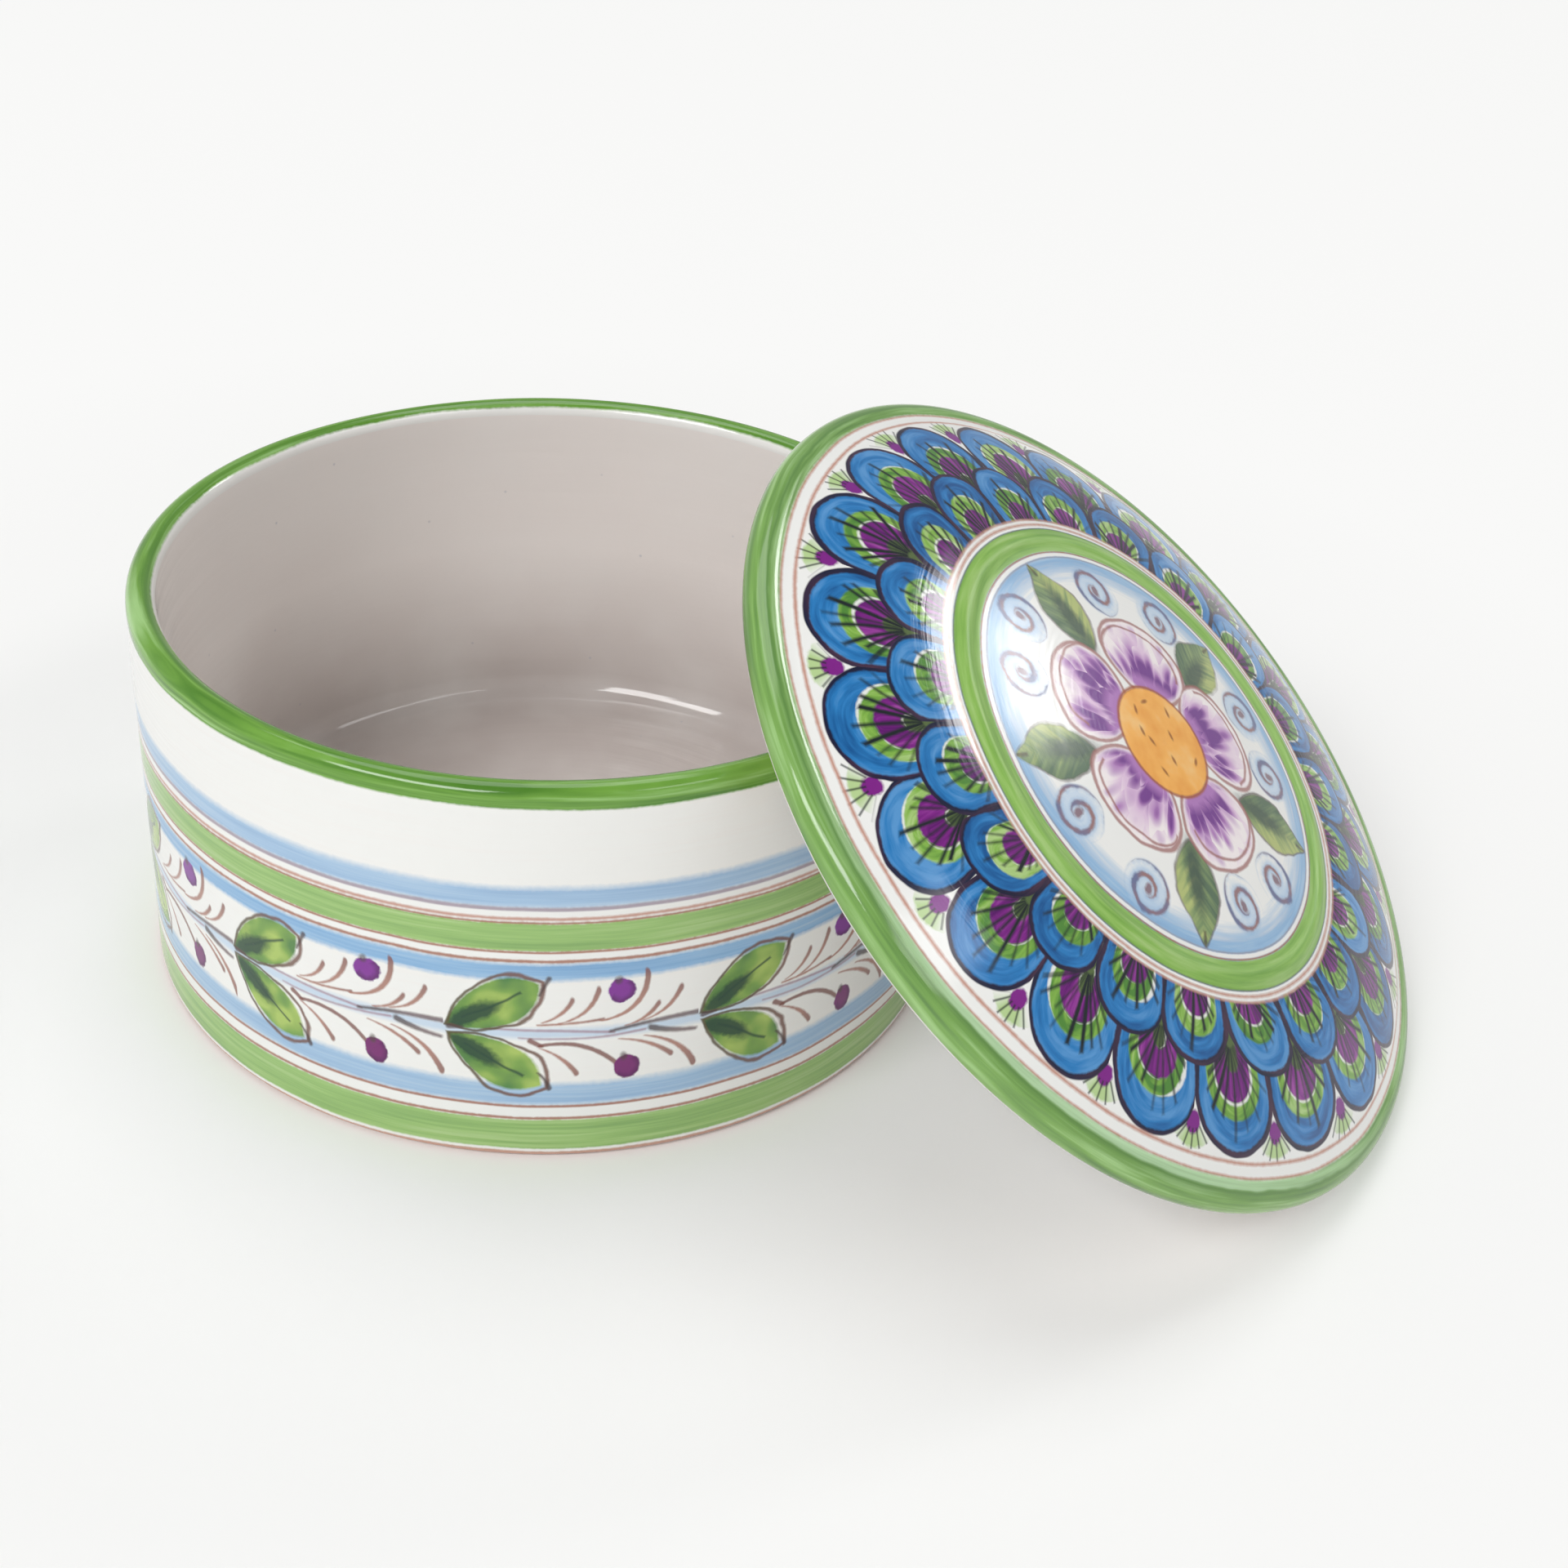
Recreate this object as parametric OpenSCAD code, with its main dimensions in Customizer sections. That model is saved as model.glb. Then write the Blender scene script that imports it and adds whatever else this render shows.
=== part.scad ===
// Round glazed earthenware box with its domed lid taken off and leaning on it.
// The origin is the centre of the box's base on the table, with +Z up.

/* [Box] */
// Outer diameter of the box
box_d = 170; // [150:1:190]
// Height of the box from the table to the top of its lip
box_h = 85; // [75:1:95]
// Thickness of the wall, which ends in a full-round lip
wall_t = 5.6; // [4.8:0.1:6.4]
// Thickness of the floor above the table
floor_t = 6.5; // [5.5:0.1:8]
// Radius of the cove where the wall meets the floor inside
cove_r = 7; // [4:0.5:10]
// Width of the foot ring under the base
foot_w = 8; // [6:0.5:12]
// Depth of the recess inside the foot ring
foot_recess = 1; // [0.6:0.1:1.6]
// Radius that softens the outer edge of the base
base_edge_r = 1.6; // [1:0.1:2.2]

/* [Lid] */
// Overhang of the lid past the wall of the box
lid_overhang = 5.5; // [4:0.1:7]
// Radius of the rolled rim
rim_r = 3.8; // [3.2:0.1:4.4]
// Distance from the rim's crest inwards to the foot of the shoulder
shoulder_inset = 1.5; // [1:0.1:2.5]
// Height of the shoulder's foot above the rim's underside
shoulder_foot_h = 7.9; // [7.4:0.1:8.2]
// Radius of the shoulder's curve
shoulder_curve_r = 92; // [84:1:104]
// Thickness of the clay between the outside of the dome and the hollow
lid_wall = 6.5; // [5.5:0.1:7.5]

/* [Medallion] */
// Outer diameter of the raised ring
ring_d = 102.6; // [96:0.2:106]
// Width of the raised ring
ring_w = 5; // [4:0.1:6]
// Height of the ring's outer edge above the rim's underside
ring_h = 17; // [16:0.1:17.6]
// Rise of the ring's crest above its outer edge
ring_rise = 1.1; // [0.8:0.1:1.5]
// Height of the middle of the medallion above the rim's underside
medallion_h = 21.2; // [20:0.1:23]
// Drop of the medallion from its middle to the ring
medallion_drop = 3.4; // [2.6:0.1:4]

/* [Locating flange] */
// Clearance all round between the flange and the mouth of the box
flange_clearance = 1; // [0.6:0.1:1.4]
// Thickness of the flange, which ends in a full round
flange_t = 3.9; // [3.2:0.1:4.6]
// Depth of the flange below the rim's underside
flange_h = 5.6; // [4.6:0.1:6.2]

/* [Lean of the lid] */
// Angle between the lid and the table, in degrees
lean_angle = 39.8; // [37:0.2:43]
// Direction that the lid's outside faces, in degrees from +X
lean_direction = -27.5; // [-180:0.5:180]
// How far the lid has slipped sideways round the box
lean_slip = 12.8; // [9:0.2:15]
// Gap between the lid and what it leans on
rest_gap = 0.3; // [0.2:0.05:0.5]

/* [Hidden] */
$fn = 180;

// Overrun of every cut past the clay that it opens
overrun = 1;

// Box
box_r = box_d / 2;
lip_r = wall_t / 2;
mouth_r = box_r - wall_t;
lip_h = box_h - lip_r;

// Lid: heights are above the underside of the rolled rim
lid_r = box_r + lid_overhang;
crest_r = lid_r - rim_r;
flange_r = mouth_r - flange_clearance;
hollow_r = flange_r - flange_t;
flange_round = flange_t / 2;
shoulder_r = crest_r - shoulder_inset;
ring_r = ring_d / 2;
shoulder_centre = arc_centre([shoulder_r, shoulder_foot_h], [ring_r, ring_h], shoulder_curve_r);
shoulder_top_h = shoulder_centre[1] + shoulder_curve_r;

// Raised ring: a bead with its crest over the middle of its width, set into the clay
ring_curve_r = (pow(ring_w / 2, 2) + pow(ring_rise, 2)) / (2 * ring_rise);
ring_centre_r = ring_r - ring_w / 2;
ring_centre_h = ring_h + ring_rise - ring_curve_r;

// Medallion: a shallow dome inside the ring
medallion_r = ring_r - ring_w;
medallion_curve_r = (pow(medallion_r, 2) + pow(medallion_drop, 2)) / (2 * medallion_drop);
medallion_centre_h = medallion_h - medallion_curve_r;

// Hollow of the lid: its roof is lid_wall under the shoulder's curve, then follows the medallion
hollow_top_h = shoulder_top_h - lid_wall;
crown_centre_h = hollow_top_h - sqrt(pow(medallion_curve_r, 2) - pow(shoulder_centre[0], 2));

// Centre of the circle of radius r through the points p and q, on the side towards the axis and down
function arc_centre(p, q, r) =
    let (middle = (p + q) / 2)
    let (chord = q - p)
    let (half = norm(chord) / 2)
    let (side = [-chord[1], chord[0]] / norm(chord))
    let (inward = side[1] < 0 ? side : -side)
    middle + inward * sqrt(pow(r, 2) - pow(half, 2));

// Leaning lid, seen in the upright plane through the box's axis in which the lid faces +X.
// A point of the lid is given by its radius r, its height h above the rim's underside and its angle t
// round the lid's axis, with t = 0 at the top of the lean.
lean_sin = sin(lean_angle);
lean_cos = cos(lean_angle);
lid_rest_h = crest_r * lean_sin + rim_r + rest_gap - rim_r * lean_cos;
function lid_point(r, h, t, along) = [
    along + h * lean_sin - r * cos(t) * lean_cos,
    lean_slip - r * sin(t),
    lid_rest_h + h * lean_cos + r * cos(t) * lean_sin
];

// Gap between a point and the wall of the box with its round lip
function wall_gap(p) =
    norm([norm([p[0], p[1]]) - (box_r - lip_r), p[2] - min(max(p[2], 0), lip_h)]) - lip_r;

// Narrowest gap between the flange and the box with the lid's middle at a distance along the lean
flange_middle_r = flange_r - flange_round;
flange_round_h = flange_round - flange_h;
function flange_gap(along) = min([
    for (t = [0:1:180])
        for (level = [0, flange_round_h / 2, flange_round_h])
            wall_gap(lid_point(flange_middle_r, level, t, along)) - flange_round
]);

// The lid slides in along the lean until the gap to the box is rest_gap
function settle(near, far, steps) =
    steps == 0 ? far
    : flange_gap((near + far) / 2) < rest_gap ? settle((near + far) / 2, far, steps - 1)
    : settle(near, (near + far) / 2, steps - 1);
settle_steps = 24;
lean_along = settle(box_r, box_r + lid_r, settle_steps);

// Clay that fills the inner corner at (r, h), whose sides run inwards and up, with a round of radius c
module cove(r, h, c) {
    difference() {
        translate([r - c, h])
            square([c + overrun, c]);
        translate([r - c, h + c])
            circle(c);
    }
}

// Upright section of the box's clay
module box_section() {
    difference() {
        union() {
            square([box_r, floor_t]);
            translate([mouth_r, 0])
                square([wall_t, lip_h]);
            translate([box_r - lip_r, lip_h])
                circle(lip_r);
            cove(mouth_r, floor_t, cove_r);
        }
        // Recess inside the foot ring
        translate([0, -overrun])
            square([box_r - foot_w, foot_recess + overrun]);
        // Softened edge of the base
        difference() {
            translate([box_r - base_edge_r, -overrun])
                square([base_edge_r + overrun, base_edge_r + overrun]);
            translate([box_r - base_edge_r, base_edge_r])
                circle(base_edge_r);
        }
    }
}

// Part of a circle centred at c that lies between two radii and above a height
module dome_slice(c, r, from_r, to_r, from_h) {
    intersection() {
        translate(c)
            circle(r);
        translate([from_r, from_h])
            square([to_r - from_r, medallion_h + flange_h]);
    }
}

// Outline of the lid's outside, down to the underside of its rim
module lid_outside() {
    translate([crest_r, rim_r])
        circle(rim_r);
    dome_slice(shoulder_centre, shoulder_curve_r, shoulder_centre[0], crest_r, 0);
    square([shoulder_centre[0], shoulder_top_h]);
    translate([ring_centre_r, ring_centre_h])
        circle(ring_curve_r);
    dome_slice([0, medallion_centre_h], medallion_curve_r, 0, ring_centre_r, shoulder_foot_h);
}

// Outline of the hollow under the dome
module lid_hollow() {
    dome_slice(shoulder_centre, shoulder_curve_r - lid_wall, shoulder_centre[0], hollow_r, -flange_h);
    dome_slice([0, crown_centre_h], medallion_curve_r, 0, shoulder_centre[0], -flange_h);
}

// Section of the lid's clay, with its axis upright and the rim's underside at height zero
module lid_section() {
    difference() {
        lid_outside();
        lid_hollow();
    }
    translate([flange_r - flange_t, flange_round_h])
        square([flange_t, -flange_round_h]);
    translate([flange_middle_r, flange_round_h])
        circle(flange_round);
}

// Box: wall, round lip, floor, cove and foot ring in one piece of clay
module box_body() {
    color([0.95, 0.95, 0.92])
        rotate_extrude()
            box_section();
}

// Lid: rolled rim, shoulder, raised ring, medallion and locating flange in one piece of clay
module lid() {
    color([0.30, 0.50, 0.68])
        rotate([0, 0, lean_direction])
            translate([lean_along, lean_slip, lid_rest_h])
                rotate([0, lean_angle, 0])
                    rotate_extrude()
                        lid_section();
}

box_body();
lid();
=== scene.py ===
"""Looks of a hand-painted maiolica box with its lid leaning on it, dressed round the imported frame.

Lengths of the ware are in millimetres and are turned to metres where a mesh or a lamp is made.
"""

import logging
import math
from dataclasses import dataclass, field, replace
from enum import Enum
from typing import Callable, Iterable, Union

import bmesh
import bpy
from mathutils import Matrix, Vector, noise


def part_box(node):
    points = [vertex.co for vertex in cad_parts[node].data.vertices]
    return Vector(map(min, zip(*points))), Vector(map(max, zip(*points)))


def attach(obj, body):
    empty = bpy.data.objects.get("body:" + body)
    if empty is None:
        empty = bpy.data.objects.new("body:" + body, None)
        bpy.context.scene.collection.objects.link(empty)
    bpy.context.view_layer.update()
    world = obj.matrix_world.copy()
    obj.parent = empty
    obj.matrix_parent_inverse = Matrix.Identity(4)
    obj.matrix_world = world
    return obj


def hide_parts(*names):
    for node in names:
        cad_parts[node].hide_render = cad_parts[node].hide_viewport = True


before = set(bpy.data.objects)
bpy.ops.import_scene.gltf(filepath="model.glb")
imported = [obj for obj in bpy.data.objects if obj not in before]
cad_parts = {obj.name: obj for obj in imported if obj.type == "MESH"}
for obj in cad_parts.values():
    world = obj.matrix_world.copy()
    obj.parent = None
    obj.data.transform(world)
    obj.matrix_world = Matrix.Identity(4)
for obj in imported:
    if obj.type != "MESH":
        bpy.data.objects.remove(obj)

LOG = logging.getLogger("ceramic_box")
MM = 0.001
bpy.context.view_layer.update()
GLAZE_IOR = 1.5
# Steps round a turned piece, passes that soften a corner, and how near points are one, in millimetres
TURN_STEPS = 192
SOFT_PASSES = 8
WELD = 0.01
# Height of the brush marks in a painted glaze, in metres
BRUSH_LIFT = 0.00004


def linear(code: str) -> tuple[float, float, float, float]:
    """Turn an sRGB hex colour into linear RGBA.

    Args:
        code: The colour as "#RRGGBB".

    Returns:
        The linear red, green, blue and an alpha of 1.
    """
    shares = [int(code[i : i + 2], 16) / 255 for i in (1, 3, 5)]
    parts = [s / 12.92 if s <= 0.04045 else ((s + 0.055) / 1.055) ** 2.4 for s in shares]
    return (parts[0], parts[1], parts[2], 1.0)


class Ink(Enum):
    """Glazes and brush colours of the ware, as sRGB hex values."""

    TIN_WHITE = "#F4F4F1"
    INSIDE_WHITE = "#F4EEEA"
    # Painted shade for the inside of the box, darkest at its floor
    INSIDE_PAINTED_SHADE = "#BFB6B2"
    CLAY = "#C9937C"
    CREAM_CLAY = "#E4D3BF"
    LIP_GREEN = "#76A846"
    LIP_GREEN_DARK = "#52852F"
    LIP_GREEN_LIGHT = "#A2CE82"
    LIP_GREEN_PALE = "#BFE2B4"
    BAND_GREEN = "#8EBD59"
    BAND_GREEN_DARK = "#74A745"
    BAND_GREEN_LIGHT = "#A6CA7A"
    SKY = "#92BBE0"
    SKY_DARK = "#79A6D3"
    SKY_LIGHT = "#AFCDE6"
    LINE_BROWN = "#A86F58"
    LINE_PINK = "#C79483"
    LINE_MAUVE = "#A99AA6"
    STEM_GREY = "#9AA0B4"
    STEM_WASH = "#C0D6EC"
    STEM_LINE = "#A78797"
    STEM_DARK = "#6A5256"
    LEAF = "#76A23A"
    LEAF_LIGHT = "#AAC658"
    LEAF_MID = "#477F30"
    LEAF_DARK = "#1D4430"
    LEAF_LINE = "#584B2C"
    LEAF_TIP = "#4E3A38"
    TENDRIL = "#A86E5C"
    TENDRIL_DARK = "#7F4B42"
    BERRY = "#84309A"
    BERRY_WINE = "#7A2470"
    BERRY_DARK = "#4A1250"
    FEATHER_LINE = "#1D1930"
    FEATHER_LINE_WARM = "#502A3A"
    BLUE = "#2E7FC1"
    BLUE_DARK = "#185896"
    BLUE_LIGHT = "#5B9AD3"
    EYE_GREEN = "#88B84F"
    EYE_GREEN_DARK = "#548B3C"
    EYE_GREEN_LIGHT = "#B3D288"
    FOOT_GREEN = "#596D40"
    EYE_PURPLE = "#82268A"
    EYE_PURPLE_DARK = "#591468"
    EYE_PURPLE_LIGHT = "#A44AA6"
    HAIR = "#20282A"
    PETAL = "#FAF2F2"
    PETAL_PINK = "#DDB6DD"
    PETAL_MAUVE = "#A969B8"
    PETAL_PURPLE = "#6F328C"
    PETAL_LINE = "#A26662"
    DISC = "#FBB85C"
    DISC_LIGHT = "#FDD08A"
    DISC_DARK = "#F0A346"
    DISC_LINE = "#A85B34"
    DISC_DOT = "#8A4A1E"
    MEDAL_LEAF = "#7C965E"
    MEDAL_LEAF_LIGHT = "#B5C174"
    MEDAL_LEAF_DARK = "#4C6A4C"
    MEDAL_LEAF_CORE = "#46594D"
    CURL_LINE = "#6C7196"
    CURL_BROWN = "#9C726E"
    CURL_DOT = "#7A4650"
    TABLE = "#FBFBFA"

    @property
    def rgba(self) -> tuple[float, float, float, float]:
        """The colour in linear RGBA."""
        return linear(self.value)


class Zone(Enum):
    """Zones of the ware, each with a finish of its own."""

    WALL = "outside and lip of the box"
    INSIDE = "inside of the box"
    BASE = "bare base of the box"
    FEATHERS = "feathers and rim of the lid"
    MEDALLION = "flower and ring of the lid"
    UNDERSIDE = "glazed underside of the lid"
    SEAT = "bare seat of the lid"


@dataclass(frozen=True)
class Field:
    """One value that varies over a surface. Arithmetic on it lays down the nodes that work it out."""

    canvas: "Canvas"
    socket: bpy.types.NodeSocket

    def other(self, output: Union[int, str]) -> "Field":
        """Another output of the same node."""
        return Field(self.canvas, self.socket.node.outputs[output])

    def __add__(self, other: "Amount") -> "Field":
        """The sum."""
        return self.canvas.add("Math", (self, other), operation="ADD")

    def __sub__(self, other: "Amount") -> "Field":
        """The difference."""
        return self.canvas.add("Math", (self, other), operation="SUBTRACT")

    def __rsub__(self, other: "Amount") -> "Field":
        """The difference, with the plain number first."""
        return self.canvas.add("Math", (other, self), operation="SUBTRACT")

    def __mul__(self, other: "Amount") -> "Field":
        """The product."""
        return self.canvas.add("Math", (self, other), operation="MULTIPLY")

    def __truediv__(self, other: "Amount") -> "Field":
        """The quotient."""
        return self.canvas.add("Math", (self, other), operation="DIVIDE")

    def __abs__(self) -> "Field":
        """The size without its sign."""
        return self.canvas.add("Math", (self,), operation="ABSOLUTE")


Amount = Union[Field, float]
Paint = Union[Field, Ink]
ZoneRule = Callable[[float, float, Vector], Zone]


@dataclass(frozen=True)
class Stripe:
    """A brushed band between two places, in millimetres, with its edges' softness and its thickness."""

    paint: Ink
    low: float
    high: float
    soft: float = 0.2
    thick: float = 0.9


class Canvas:
    """The node tree of one finish or of the studio's walls, with the steps that a painter takes on it."""

    def __init__(self, owner: Union[bpy.types.Material, bpy.types.World]) -> None:
        """Start an empty tree.

        Args:
            owner: The material or the world that the tree belongs to.
        """
        self.owner = owner
        owner.use_nodes = True
        self.nodes, self.links = owner.node_tree.nodes, owner.node_tree.links
        self.nodes.clear()

    def add(
        self,
        kind: str,
        inputs: Union[Iterable, dict] = (),
        output: Union[int, str] = 0,
        **settings: object,
    ) -> Field:
        """Add a node with its settings and links.

        Args:
            kind: The node's type without its ShaderNode prefix.
            inputs: Fields or plain values, in the order of the sockets or by their number or name.
            output: The name or the number of the output that is wanted.
            settings: The node's own settings.

        Returns:
            The output as a field.
        """
        node = self.nodes.new("ShaderNode" + kind)
        for name, value in settings.items():
            setattr(node, name, value)
        for key, value in inputs.items() if isinstance(inputs, dict) else enumerate(inputs):
            if isinstance(value, Field):
                self.links.new(value.socket, node.inputs[key])
            else:
                node.inputs[key].default_value = value.rgba if isinstance(value, Ink) else value
        return Field(self, node.outputs[output] if node.outputs else None)

    def least(self, first: Amount, *others: Amount) -> Field:
        """The smallest of several fields: the union of the shapes whose distances they are."""
        for one in others:
            first = self.add("Math", (first, one), operation="MINIMUM")
        return first

    def most(self, first: Amount, *others: Amount) -> Field:
        """The largest of several fields: what the shapes whose distances they are share."""
        for one in others:
            first = self.add("Math", (first, one), operation="MAXIMUM")
        return first

    def length(self, x: Field, y: Field) -> Field:
        """The distance from zero of the point (x, y)."""
        return self.add("Math", (x * x + y * y,), operation="SQRT")

    def slant(self, x: Field, y: Field, across: float, up: float, shift: float) -> Field:
        """The sum across * x + up * y + shift: a coordinate along a slanted line."""
        part = self.add("Math", (y, up, shift), operation="MULTIPLY_ADD")
        return self.add("Math", (x, across, part), operation="MULTIPLY_ADD")

    def cover(self, distance: Field, soft: float = 0.14) -> Field:
        """How much paint lies there: 1 inside a shape, 0 outside, and soft mm to each side of its edge."""
        return self.add("MapRange", (distance, soft, -soft, 0.0, 1.0))

    def lay(self, ground: Paint, paint: Paint, cover: Amount) -> Field:
        """The colour that shows where a cover from 0 to 1 of paint lies on the ground."""
        # The two colours of a Mix node are its inputs 6 and 7, and the mixed colour its output 2
        return self.add("Mix", {0: cover, 6: ground, 7: paint}, 2, data_type="RGBA")

    def brush(
        self, ground: Paint, paint: Paint, shape: Field, soft: float = 0.14, thick: Amount = 1.0
    ) -> Field:
        """The colour that shows where a shape is painted on the ground, with thick as its full cover."""
        return self.lay(ground, paint, self.cover(shape, soft) * thick)

    def stripes(
        self, ground: Paint, bands: Iterable[Stripe], at: Field, stray: Field, brushed: dict[Ink, Field]
    ) -> Field:
        """Lay a set of stripes over a colour.

        Args:
            ground: The colour below.
            bands: The stripes, from the first one laid to the last.
            at: The coordinate that the stripes lie across, in millimetres.
            stray: How far their edges stray.
            brushed: The brushed colours that stand in for plain inks.

        Returns:
            The colour with the stripes on it.
        """
        for one in bands:
            band = abs(at - (one.low + one.high) / 2) - (one.high - one.low) / 2 + stray
            ground = self.brush(ground, brushed.get(one.paint, one.paint), band, one.soft, one.thick)
        return ground

    def grain(self, place: Field, scale: float, detail: float = 2.0) -> Field:
        """Smooth chance over a place, from about -0.5 to 0.5, with features 1 / scale wide."""
        return self.add("TexNoise", {"Vector": place, "Scale": scale, "Detail": detail}) - 0.5

    def shades(self, middle: Ink, dark: Ink, light: Ink, chance: Field, reach: float = 0.22) -> Field:
        """A brushed colour: dark where the chance is at -reach and paint pooled, light and thin at reach."""
        darker = self.lay(middle, dark, self.add("MapRange", (chance, 0.02, -reach, 0.0, 1.0)))
        return self.lay(darker, light, self.add("MapRange", (chance, 0.02, reach, 0.0, 1.0)))

    def tile(self, angle: Field, count: int, phase: float) -> tuple[Field, Field]:
        """Cut a turn into equal cells.

        Args:
            angle: The angle round the axis, in radians.
            count: How many cells fill the turn.
            phase: Share of a cell by which they are turned.

        Returns:
            The number of the cell, and the place in it from -0.5 to 0.5.
        """
        turns = angle * (count / math.tau) + (count + phase)
        index = self.add("Math", (turns,), operation="FLOOR")
        return self.add("Math", (index, float(count)), operation="MODULO"), turns - index - 0.5

    def nearest(self, x: Field, y: Field, spots: Iterable["Spot"]) -> tuple[Field, Field, Field]:
        """Coordinates from the nearest of several spots.

        Args:
            x: The first coordinate of the point, in millimetres.
            y: Its second coordinate.
            spots: The spots.

        Returns:
            The place along the nearest spot's own direction, the place across it, and the spot's number.
        """
        best, least = None, None
        for number, spot in enumerate(spots):
            along, across = spot.frame(self, x, y)
            far = self.length(along, across)
            place = self.add("CombineXYZ", (along, across, float(number)))
            if best is None:
                best, least = place, far
            else:
                nearer = self.add("Math", (far, least), operation="LESS_THAN")
                # The two vectors of a Mix node are its inputs 4 and 5, and the mixed vector its output 1
                best = self.add("Mix", {0: nearer, 4: best, 5: place}, 1, data_type="VECTOR")
                least = self.least(far, least)
        parts = self.add("SeparateXYZ", (best,))
        return parts, parts.other("Y"), parts.other("Z")

    def luck(self, index: Field, seed: float) -> list[Field]:
        """Three numbers from -0.5 to 0.5 that belong to a cell."""
        colour = self.add("TexWhiteNoise", {"W": index + seed}, "Color", noise_dimensions="1D")
        red = self.add("SeparateColor", (colour,))
        return [red.other(i) - 0.5 for i in range(3)]

    def finish(self, colour: Paint, roughness: Amount, height: Field, lift: float) -> bpy.types.Material:
        """End the tree in one glazed surface.

        Args:
            colour: The paint's colour.
            roughness: The surface's roughness.
            height: A field for the bump.
            lift: Metres from the lowest to the highest of that field.

        Returns:
            The material.
        """
        bump = self.add("Bump", {"Height": height, "Distance": lift})
        sockets = {"Base Color": colour, "Roughness": roughness, "IOR": GLAZE_IOR, "Normal": bump}
        self.add("OutputMaterial", (self.add("BsdfPrincipled", sockets),))
        return self.owner


@dataclass(frozen=True)
class Place:
    """Coordinates on a piece in millimetres and radians, with the fine and the slow stray of a brush."""

    at: Field
    x: Field
    y: Field
    radius: Field
    angle: Field
    height: Field
    edge: Field
    drift: Field

    def streak(self, c: Canvas, around: float, radius: float, height: float) -> Field:
        """Chance that runs round the axis in long streaks, as on a wheel.

        Args:
            c: The canvas.
            around: How quickly it changes on the way round.
            radius: How quickly it changes outwards.
            height: How quickly it changes upwards.

        Returns:
            A field from about -0.5 to 0.5.
        """
        cos = c.add("Math", (self.angle,), operation="COSINE") * around
        sin = c.add("Math", (self.angle,), operation="SINE") * around
        across = c.add("Math", (self.height, height, self.radius * radius), operation="MULTIPLY_ADD")
        return c.grain(c.add("CombineXYZ", (cos, sin, across)), 1.0, 3.0)


@dataclass(frozen=True)
class Pose:
    """Where a turned piece stands: its own axis is Z and its base is at zero."""

    centre: tuple[float, float, float] = (0.0, 0.0, 0.0)
    lean: float = 0.0
    direction: float = 0.0

    def matrix(self) -> Matrix:
        """The matrix, in metres, that takes the piece from its own frame to the row frame."""
        turn = Matrix.Rotation(math.radians(self.direction), 4, "Z")
        lean = Matrix.Rotation(math.radians(self.lean), 4, "Y")
        return Matrix.Translation(Vector(self.centre) * MM) @ turn @ lean

    def place(self, canvas: Canvas, wobble: float, seed: float) -> Place:
        """Coordinates on the piece in millimetres, pushed about a little as a hand does.

        Args:
            canvas: The finish that reads them.
            wobble: How far the hand strays, in millimetres.
            seed: A number that makes this stray its own.

        Returns:
            The coordinates.
        """
        angles = (0.0, math.radians(self.lean), math.radians(self.direction))
        centre = tuple(c * MM for c in self.centre)
        object_place = canvas.add("TexCoord", output="Object")
        mapped = canvas.add("Mapping", (object_place, centre, angles, (MM,) * 3), vector_type="TEXTURE")
        slow = {"Vector": mapped, "W": seed, "Scale": 0.05, "Detail": 1.0}
        stray = canvas.add("TexNoise", slow, "Color", noise_dimensions="4D")
        moved = canvas.add("VectorMath", (stray, (2 * wobble,) * 3, mapped), operation="MULTIPLY_ADD")
        place = canvas.add("VectorMath", (moved, (wobble,) * 3), operation="SUBTRACT")
        x = canvas.add("SeparateXYZ", (place,))
        y, z = x.other("Y"), x.other("Z")
        edge = canvas.grain(place, 0.9) * 0.4
        drift = canvas.grain(place, 0.2, 1.0) * 1.6
        angle = canvas.add("Math", (y, x), operation="ARCTAN2")
        return Place(place, x, y, canvas.length(x, y), angle, z, edge, drift)


@dataclass(frozen=True)
class Spot:
    """A place (x, y) in millimetres with a direction of its own, in degrees."""

    x: float
    y: float
    turn: float

    def frame(self, c: Canvas, x: Field, y: Field) -> tuple[Field, Field]:
        """Coordinates along the direction and to its left."""
        cos, sin = math.cos(math.radians(self.turn)), math.sin(math.radians(self.turn))
        along = c.slant(x, y, cos, sin, -self.x * cos - self.y * sin)
        return along, c.slant(x, y, -sin, cos, self.x * sin - self.y * cos)


@dataclass(frozen=True)
class Stroke(Spot):
    """One pull of a thin brush.

    It starts at (x, y), goes off at its turn for a length, bows to its left and swells from one
    half-width to another, all in millimetres.
    """

    length: float = 0.0
    bow: float = 0.0
    thin: float = 0.2
    thick: float = 0.5

    def distance(self, c: Canvas, x: Field, y: Field) -> tuple[Field, Field]:
        """How far a point lies outside the stroke.

        Args:
            c: The canvas.
            x: The point's first coordinate.
            y: Its second coordinate.

        Returns:
            Millimetres, negative inside, and the share of the stroke's length that lies behind the point.
        """
        along, across = self.frame(c, x, y)
        sag = 4.0 * self.bow / self.length**2
        bent = c.add("Math", (along * (along - self.length), sag, across), operation="MULTIPLY_ADD")
        share = c.add("MapRange", (along, 0.0, self.length, 0.0, 1.0))
        width = c.add("Math", (share, self.thick - self.thin, self.thin), operation="MULTIPLY_ADD")
        return c.length(along - share * self.length, bent) - width, share


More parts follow.
